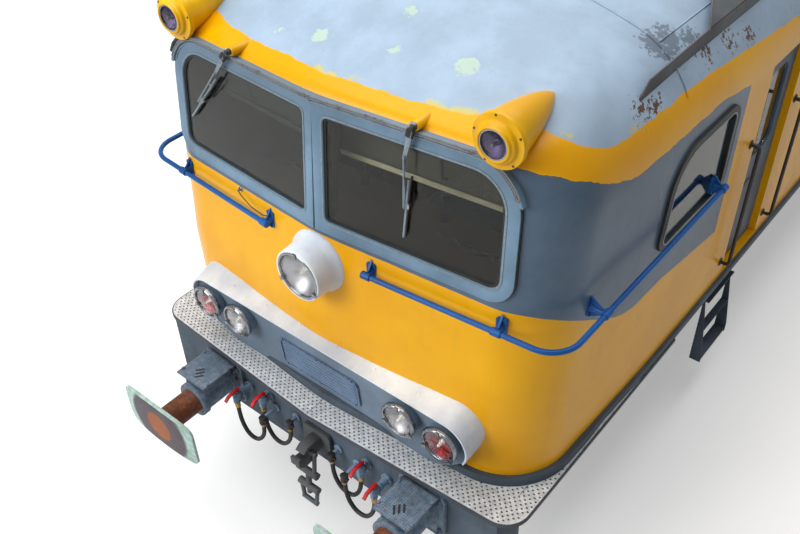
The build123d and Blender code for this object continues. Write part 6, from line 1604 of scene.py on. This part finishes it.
def make_treads(end):
    """Raised diamond points on the tread plates over the buffers."""
    work = Work()
    for column in range(18):
        for row in range(17):
            x = 8.892 + column * 0.0160
            y = BUFFER_Y - 0.128 + row * 0.0160
            dx, dy, top = 0.0065, 0.0065, 1.2722
            base = [(x - dx, y, top - 0.004), (x, y - dy, top - 0.004), (x + dx, y, top - 0.004),
                    (x, y + dy, top - 0.004)]
            crest = [(x - dx * 0.4, y, top), (x, y - dy * 0.4, top), (x + dx * 0.4, y, top),
                     (x, y + dy * 0.4, top)]
            work.rows([base, crest], True, True)
    for x in (8.93, 9.12):
        for y in (BUFFER_Y - 0.125, BUFFER_Y + 0.125):
            work.turned([(-0.003, 0.011), (0.006, 0.011), (0.008, 0.008)], (x, y, 1.270), (0, 0, 1), 6)
    for index in range(3):
        work.slab(upright(0.030, -0.006, 0.006),
                  (9.06 + 0.022 * index, BUFFER_Y - 0.020 * index + 0.02, 1.2712), (0.8, 0.6, 0),
                  (-0.6, 0.8, 0), -0.002, 0.002, 1)
    for dy, dz in ((-0.14, -0.14), (0.14, -0.14), (-0.14, 0.14), (0.14, 0.14)):
        work.turned([(0.0, 0.022), (0.018, 0.022), (0.020, 0.018), (0.020, 0.011), (0.034, 0.011),
                     (0.036, 0.008)],
                    (8.875, BUFFER_Y + dy, BUFFER_Z + dz), (1, 0, 0), 6)
    work.both_sides().flipped(end, end)
    return work.build(numbered("buffer_treads", end), ("fitting", "seal"), smooth=20)


def make_cocks(end):
    """Brake cocks with flanges, hexagon nuts, red handles and brass ferrules, and the hoses' rests."""
    work = Work()
    for y, z, plane, reach in COCKS:
        start = Vector((HEADSTOCK_X, y, z))
        length = plane - HEADSTOCK_X
        work.turned([(-0.004, 0.042), (0.016, 0.042), (0.020, 0.039), (0.022, 0.027), (length * 0.55, 0.0235),
                     (length - 0.04, 0.0235)], start, (1, 0, 0), 24, 0)
        for turn in (45, 135, 225, 315):
            a = math.radians(turn)
            work.turned([(0.016, 0.0065), (0.024, 0.0065), (0.026, 0.004)],
                        start + Vector((0, math.cos(a), math.sin(a))) * 0.034, (1, 0, 0), 6, 3)
        work.turned([(-0.062, 0.030), (-0.058, 0.0325), (-0.044, 0.0325), (-0.040, 0.030)], (plane, y, z),
                    (1, 0, 0), 6, 0)
        ball = [(0.034 * math.sin(math.radians(i * 15 - 90)),
                 0.034 * math.cos(math.radians(i * 15 - 90)) + 0.0005)
                for i in range(13)]
        work.turned(ball, (plane - 0.010, y, z), (1, 0, 0), 24, 0)
        work.turned([(0.0, 0.026), (0.030, 0.024), (0.034, 0.0255), (0.052, 0.0255), (0.056, 0.022),
                     (0.060, 0.020)],
                    (plane, y, z), (0, 0, -1), 6, 0)
        work.turned([(0.054, 0.0165), (0.056, 0.0190), (0.094, 0.0190), (0.097, 0.0165)], (plane, y, z),
                    (0, 0, -1), 20, 2)
        work.turned([(0.020, 0.015), (0.036, 0.013), (0.052, 0.012), (0.060, 0.010)], (plane - 0.010, y, z),
                    (0, 0, 1), 16, 0)
        handle = [(-0.030, 0.050), (0.030, 0.050), (0.060, 0.044), (0.092, 0.020), (0.097, 0.028),
                  (0.066, 0.055),
                  (0.032, 0.062), (-0.030, 0.062)]
        work.slab(handle, (plane, y, z), (1, 0, 0), (0, 0, 1), -0.012, 0.012, 1)
        rest = Vector((HEADSTOCK_X, y + reach, z - 0.047))
        work.turned([(-0.004, 0.034), (0.012, 0.034), (0.015, 0.030), (0.017, 0.015),
                     (length - 0.012, 0.0135)],
                    rest, (1, 0, 0), 16, 0)
        work.turned([(0.0, 0.020), (0.004, 0.026), (0.020, 0.027), (0.024, 0.022), (0.040, 0.022),
                     (0.044, 0.026),
                     (0.060, 0.025), (0.062, 0.019)], (plane, y + reach, z - 0.095), (0, 0, 1), 24, 4)
        work.turned([(-0.020, 0.0165), (-0.018, 0.0190), (0.0, 0.0190), (0.004, 0.0165)],
                    (plane, y + reach, z - 0.095),
                    (0, 0, 1), 20, 2)
        for up in (-1, 1):
            lug = [(0.020, -0.010), (0.036, -0.006), (0.036, 0.006), (0.020, 0.010)]
            work.slab([(u * up, v) for u, v in lug], (plane, y + reach, z - 0.060), (0, 1, 0), (0, 0, 1),
                      -0.008, 0.008, 4)
    work.flipped(end, end)
    return work.build(numbered("brake_cock_set", end), ("fitting", "red", "brass", "steel", "rubber"),
                      replaces="brake_cocks", smooth=32, bevel=0.0008)


AXLE_OFFSETS = (-2.4225, 0.0, 2.4225)
BOGIE_X = 4.6475


def make_springs(number):
    """Coil springs beside the axle boxes, wound round the plain ones of the model."""
    work = Work()
    middle = BOGIE_X if number == 1 else -BOGIE_X
    for offset in AXLE_OFFSETS:
        for ahead in (-0.230, 0.230):
            turns, height = 6.5, 0.315
            count = int(turns * 14)
            path = [(middle + offset + ahead + 0.0585 * math.cos(2 * math.pi * turns * i / count),
                     1.020 + 0.0585 * math.sin(2 * math.pi * turns * i / count), 0.572 + height * i / count)
                    for i in range(count + 1)]
            work.tube(path, 0.0125, 8)
    work.both_sides()
    return work.build(f"axle_springs_{number}", "bogie", f"bogie_{number}")


def make_insulators():
    """Brown porcelain sheds round the feet of both pantographs."""
    work = Work()
    for middle in (4.60, -4.60):
        for ahead in (-0.42, 0.42):
            for y in (-0.47, 0.47):
                profile = [(0.0, 0.046)]
                for shed in range(3):
                    low = 0.006 + 0.036 * shed
                    profile += [(low, 0.048), (low + 0.002, 0.0725), (low + 0.006, 0.0735),
                                (low + 0.016, 0.060),
                                (low + 0.026, 0.048)]
                profile.append((0.114, 0.046))
                work.turned(profile, (middle + ahead, y, CROWN_Z + 0.004), (0, 0, 1), 32)
    return work.build("insulator_sheds", "porcelain")


for end in (1, -1):
    make_hood(end)
    make_lamp_panel(end)
    make_side_trim(end)
    make_cab_inside(end)
    make_roof_seams(end)
    make_treads(end)
for number in (1, 2):
    make_springs(number)
make_insulators()


# Seat cushions

SEAT_CENTRE_X, SEAT_CENTRE_Y = 7.00, 0.62
SEAT_SHAPE = ((-0.190, -0.215, 1.8535), (0.220, 0.215, 1.935))
BACK_SHAPE = ((-0.227, -0.205, 1.970), (-0.165, 0.205, 2.405))


PAD_VOXEL, PAD_PRESSURE, PAD_FRAMES, PAD_FACES_KEPT = 0.006, 4.0, 20, 0.15
PIPING_RADIUS = 0.0035
# pad: name, box, whether it stands upright, and how far a point may travel
PADS = (("seat_pad", SEAT_SHAPE, False, 0.024), ("back_pad", BACK_SHAPE, True, 0.022))


def pad_outline(low, high, inset, corner, steps=6):
    """Rounded outline in two of the cushion's directions."""
    return rounded_corners([(low[0] + inset, low[1] + inset, corner),
                            (high[0] - inset, low[1] + inset, corner),
                            (high[0] - inset, high[1] - inset, corner),
                            (low[0] + inset, high[1] - inset, corner)], steps)


def pad_planes(low, high, standing):
    """The two corners of a pad's broad side, and its two levels across its thickness."""
    if standing:
        return (low[1:], high[1:]), (low[0], high[0])
    return (low[:2], high[:2]), (low[2], high[2])


def pad_form(low, high, standing):
    """Rounded block that the padding starts from."""
    work = Work()
    flat, deep = pad_planes(low, high, standing)
    rows = []
    for share, inset in ((0.0, 0.014), (0.12, 0.004), (0.3, 0.0), (0.7, 0.0), (0.88, 0.004), (1.0, 0.014)):
        level = deep[0] + (deep[1] - deep[0]) * share
        ring = pad_outline(*flat, inset, 0.045)
        rows.append([(level, u, v) if standing else (u, v, level) for u, v in ring])
    work.rows(rows)
    return work


def swollen(work, name, limit, floor_z):
    """The form as padding: remeshed, blown up as cloth, each point's travel capped, its seat kept flat."""
    mesh = bpy.data.meshes.new(name)
    mesh.from_pydata(work.points, [], work.faces)
    outwards(mesh)
    pad = placed(name, mesh)
    voxels = pad.modifiers.new("voxels", "REMESH")
    voxels.mode, voxels.voxel_size = "VOXEL", PAD_VOXEL
    bake_shape(pad)
    before = [v.co.copy() for v in pad.data.vertices]
    cloth = pad.modifiers.new("padding", "CLOTH")
    cloth.settings.use_pressure = True
    cloth.settings.uniform_pressure_force = PAD_PRESSURE
    cloth.settings.effector_weights.gravity = 0.0
    cloth.settings.quality = 4
    for step in range(1, PAD_FRAMES + 1):
        bpy.context.scene.frame_set(step)
    bake_shape(pad)
    bpy.context.scene.frame_set(1)
    for vertex, start in zip(pad.data.vertices, before):
        travel = vertex.co - start
        if travel.length > limit:
            vertex.co = start + travel.normalized() * limit
        vertex.co.z = max(vertex.co.z, floor_z)
    fewer = pad.modifiers.new("fewer faces", "DECIMATE")
    fewer.ratio = PAD_FACES_KEPT
    bake_shape(pad)
    return pad


def bake_shape(piece):
    """Turn the piece's modifiers into its own mesh."""
    bpy.context.view_layer.update()
    made = bpy.data.meshes.new_from_object(piece.evaluated_get(bpy.context.evaluated_depsgraph_get()))
    piece.modifiers.clear()
    piece.data = made


def make_cushions():
    """One seat and one back are blown up; every seat has a copy of each, with piping along its seams."""
    pads = []
    for name, (low, high), standing, limit in PADS:
        pad = swollen(pad_form(low, high, standing), name, limit, low[2] - 0.02 if standing else low[2])
        skin = BVHTree.FromPolygons([v.co for v in pad.data.vertices],
                                    [list(p.vertices) for p in pad.data.polygons])
        piping = Work()
        flat, deep = pad_planes(low, high, standing)
        for share in (0.16, 0.84):
            level = deep[0] + (deep[1] - deep[0]) * share
            ring = pad_outline(*flat, -0.02, 0.055, 8)
            line = []
            for (u, v), (nu, nv) in zip(ring, ring[1:] + ring[:1]):
                for part in range(3):
                    a, b = u + (nu - u) * part / 3, v + (nv - v) * part / 3
                    near = (level, a, b) if standing else (a, b, level)
                    line.append(skin.find_nearest(Vector(near))[0])
            piping.tube(line + line[:1], PIPING_RADIUS, 5)
        pads.append((name, pad, piping))
    for end in (1, -1):
        for side in (1, -1):
            for name, pad, piping in pads:
                label = sided(name, end, side)
                mesh = pad.data.copy()
                together = bmesh.new()
                together.from_mesh(mesh)
                seam = bpy.data.meshes.new("piping")
                seam.from_pydata(piping.points, [], piping.faces)
                outwards(seam)
                together.from_mesh(seam)
                for vertex in together.verts:
                    vertex.co = Vector(((vertex.co.x + SEAT_CENTRE_X) * end,
                                        (vertex.co.y + SEAT_CENTRE_Y * side) * end,
                                        vertex.co.z))
                together.to_mesh(mesh)
                together.free()
                mesh.materials.append(FINISH["cloth"])
                mesh.shade_smooth()
                piece = placed(label, mesh)
                piece.modifiers.new("rounder", "SUBSURF").levels = 1
                dress(piece, "body", "seat_cushions")
    for _, pad, _ in pads:
        bpy.data.objects.remove(pad)


make_cushions()


# CAD nodes that stay, with their finishes

KEPT = {
    "underframe": ("underframe", 0.004),
    "door_steps": ("underframe", 0.003),
    "buffers": ("buffer", 0.004),
    "couplings": ("coupling", 0.004),
    "side_wall_left": ("body", 0.0),
    "side_wall_right": ("body", 0.0),
    "roof_screens": ("screen", 0.0),
    "roof_gear": ("roof", 0.003),
    "cab_bulkheads": ("lining", 0.0),
    "cab_furniture": ("desk", 0.008),
    "window_frames": ("frame", 0.003),
    "window_glass": ("glazing", 0.0),
    "side_louvres": ("band", 0.001),
    "underfloor_boxes": ("underframe", 0.006),
    "machinery_block": ("underframe", 0.0),
}
for number in (1, 2):
    KEPT[f"bogie_frame_{number}"] = ("bogie", 0.004)
    KEPT[f"bogie_gear_{number}"] = ("bogie", 0.003)
    KEPT[f"traction_motors_{number}"] = ("bogie", 0.006)
    for part in ("lower_a", "lower_b", "upper_a", "upper_b", "head"):
        KEPT[f"panto_{number}_{part}"] = ("steel", 0.001)
    for side in ("left", "right"):
        KEPT[f"cab_door_{number}_{side}"] = ("band", 0.002)
        KEPT[f"door_glass_{number}_{side}"] = ("glazing", 0.0)
for number in range(1, 7):
    KEPT[f"wheelset_{number}"] = ("wheel", 0.004)


def finish_node(name, finish, bevel):
    """Give a CAD node its finish, with its edges joined, rounded and shaded."""
    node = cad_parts[name]
    node.data.materials.clear()
    node.data.materials.append(FINISH[finish])
    if "custom_normal" in node.data.attributes:
        node.data.attributes.remove(node.data.attributes["custom_normal"])
    node.data.shade_smooth()
    weld = node.modifiers.new("joined edges", "WELD")
    weld.merge_threshold = 0.00005
    if bevel:
        made = node.modifiers.new("rounded edges", "BEVEL")
        made.width, made.segments, made.limit_method = bevel, 2, "ANGLE"
        made.angle_limit = math.radians(40)
        made.use_clamp_overlap = True
    split = node.modifiers.new("crisp edges", "EDGE_SPLIT")
    split.split_angle, split.use_edge_sharp = math.radians(36), False


for name, (finish, bevel) in KEPT.items():
    finish_node(name, finish, bevel)


# Brake hoses

COCKS = ((-0.650, 1.105, 8.985, 0.250), (-0.450, 1.150, 8.925, 0.250),
         (0.424, 1.105, 8.925, -0.250), (0.588, 1.085, 8.985, -0.250))
HOSE_DIAMETER = 0.030


def hose_route(y, z, plane_x, reach):
    """Points of one hose, from the nipple down round its loop and up to its rest."""
    top, low, rest, half = z - 0.070, z - 0.330, z - 0.095, reach / 2
    return [
        (plane_x, y, top), (plane_x, y, top - 0.080),
        (plane_x + 0.007, y + reach * 0.09, low + 0.088),
        (plane_x + 0.012, y + half * 0.62, low + 0.014),
        (plane_x + 0.012, y + half * 1.30, low + 0.010),
        (plane_x + 0.008, y + reach * 0.90, low + 0.076),
        (plane_x, y + reach, rest - 0.078), (plane_x, y + reach, rest),
    ]


def make_hose(end, index, cock):
    """One rubber hose as a smooth spline."""
    points = [(x * end, y * end, z) for x, y, z in hose_route(*cock)]
    curve = bpy.data.curves.new(f"brake_hose_{end}_{index}", "CURVE")
    curve.dimensions, curve.bevel_depth, curve.bevel_resolution = "3D", HOSE_DIAMETER / 2, 4
    spline = curve.splines.new("NURBS")
    spline.points.add(len(points) - 1)
    for spot, point in zip(spline.points, points):
        spot.co = (*point, 1)
    spline.order_u, spline.use_endpoint_u, spline.resolution_u = 3, True, 8
    curve.materials.append(FINISH["rubber"])
    hose = placed(f"{numbered('brake_hose', end)}_{index}", curve)
    dress(hose, "body", "brake_hoses")


for end in (1, -1):
    make_cocks(end)
    for index, cock in enumerate(COCKS, 1):
        make_hose(end, index, cock)


# Studio

CAMERA = Vector((11.3947, 2.9254, 5.6555))
AZIMUTH, PITCH, ROLL = math.radians(-139.386), math.radians(39.684), math.radians(-1.863)


def make_camera():
    """Camera at the photograph's place and angle."""
    ahead = Vector((math.cos(PITCH) * math.cos(AZIMUTH), math.cos(PITCH) * math.sin(AZIMUTH),
                    -math.sin(PITCH)))
    level = ahead.cross(Vector((0, 0, 1))).normalized()
    above = level.cross(ahead)
    right = level * math.cos(ROLL) + above * math.sin(ROLL)
    up = above * math.cos(ROLL) - level * math.sin(ROLL)
    data = bpy.data.cameras.new("camera")
    data.lens, data.sensor_width, data.sensor_fit = 40.24, 36.0, "HORIZONTAL"
    data.clip_start, data.clip_end = 0.1, 400
    camera = placed("camera", data)
    camera.matrix_world = Matrix((
        (right.x, up.x, -ahead.x, CAMERA.x), (right.y, up.y, -ahead.y, CAMERA.y),
        (right.z, up.z, -ahead.z, CAMERA.z), (0, 0, 0, 1),
    ))
    bpy.context.scene.camera = camera


FLOOR_LIFT, FLOOR_IN_GLOSS = 0.34, 0.3


def make_floor():
    """A wide pale floor that shows white to the camera where nothing shades it."""
    floor = Work()
    floor.slab(upright(90, -90, 90), (0, 0, 0), (1, 0, 0), (0, 1, 0), -0.02, -0.001)
    material, tree, shader = new_material("studio floor")
    grain = noise(tree, place_coordinates(tree), 1.5, 4.0)
    shade = mix_colour(tree, grain, (0.88, 0.88, 0.88), (0.91, 0.91, 0.91))
    feed(tree, shader, shade)
    shader.inputs["Roughness"].default_value = 0.8
    light = put(tree, "ShaderNodeLightPath").outputs
    seen = calc(tree, "MAXIMUM", light["Is Camera Ray"], light["Is Transmission Ray"])
    seen = calc(tree, "MAXIMUM", seen, calc(tree, "MULTIPLY", light["Is Glossy Ray"], FLOOR_IN_GLOSS))
    shader.inputs["Emission Color"].default_value = (1, 1, 1, 1)
    tree.links.new(calc(tree, "MULTIPLY", seen, FLOOR_LIFT), shader.inputs["Emission Strength"])
    mesh = bpy.data.meshes.new("floor")
    mesh.from_pydata(floor.points, [], floor.faces)
    mesh.materials.append(material)
    piece = placed("floor", mesh)


def make_light(name, place, aim, size, power, colour=(1, 1, 1)):
    """A large soft lamp."""
    data = bpy.data.lights.new(name, "AREA")
    data.shape, data.size, data.size_y, data.energy, data.color = "RECTANGLE", size[0], size[1], power, colour
    lamp = placed(name, data)
    lamp.location = place
    lamp.rotation_mode = "QUATERNION"
    lamp.rotation_quaternion = (Vector(aim) - Vector(place)).to_track_quat("-Z", "Y")


def make_world():
    """Soft daylight from all round; the backdrop shows white to the camera, in gloss and through glass."""
    world = bpy.data.worlds.new("studio")
    bpy.context.scene.world = world
    world.use_nodes = True
    tree = world.node_tree
    light = put(tree, "ShaderNodeLightPath").outputs
    seen = calc(tree, "MAXIMUM", light["Is Camera Ray"], light["Is Transmission Ray"])
    mirrored = calc(tree, "MULTIPLY", light["Is Glossy Ray"], 0.60)
    background = tree.nodes["Background"]
    background.inputs["Color"].default_value = (1, 1, 1, 1)
    strength = calc(tree, "MAXIMUM", calc(tree, "MAXIMUM", seen, mirrored), 0.24)
    tree.links.new(strength, background.inputs["Strength"])


make_camera()
make_floor()
make_world()
make_light("overhead", (4, -1.5, 14), (4, 0, 0), (18, 12), 2000)
make_light("front", (20, -6, 9), (7, 0, 2), (9, 8), 1600)
bpy.context.scene.view_settings.view_transform = "Standard"
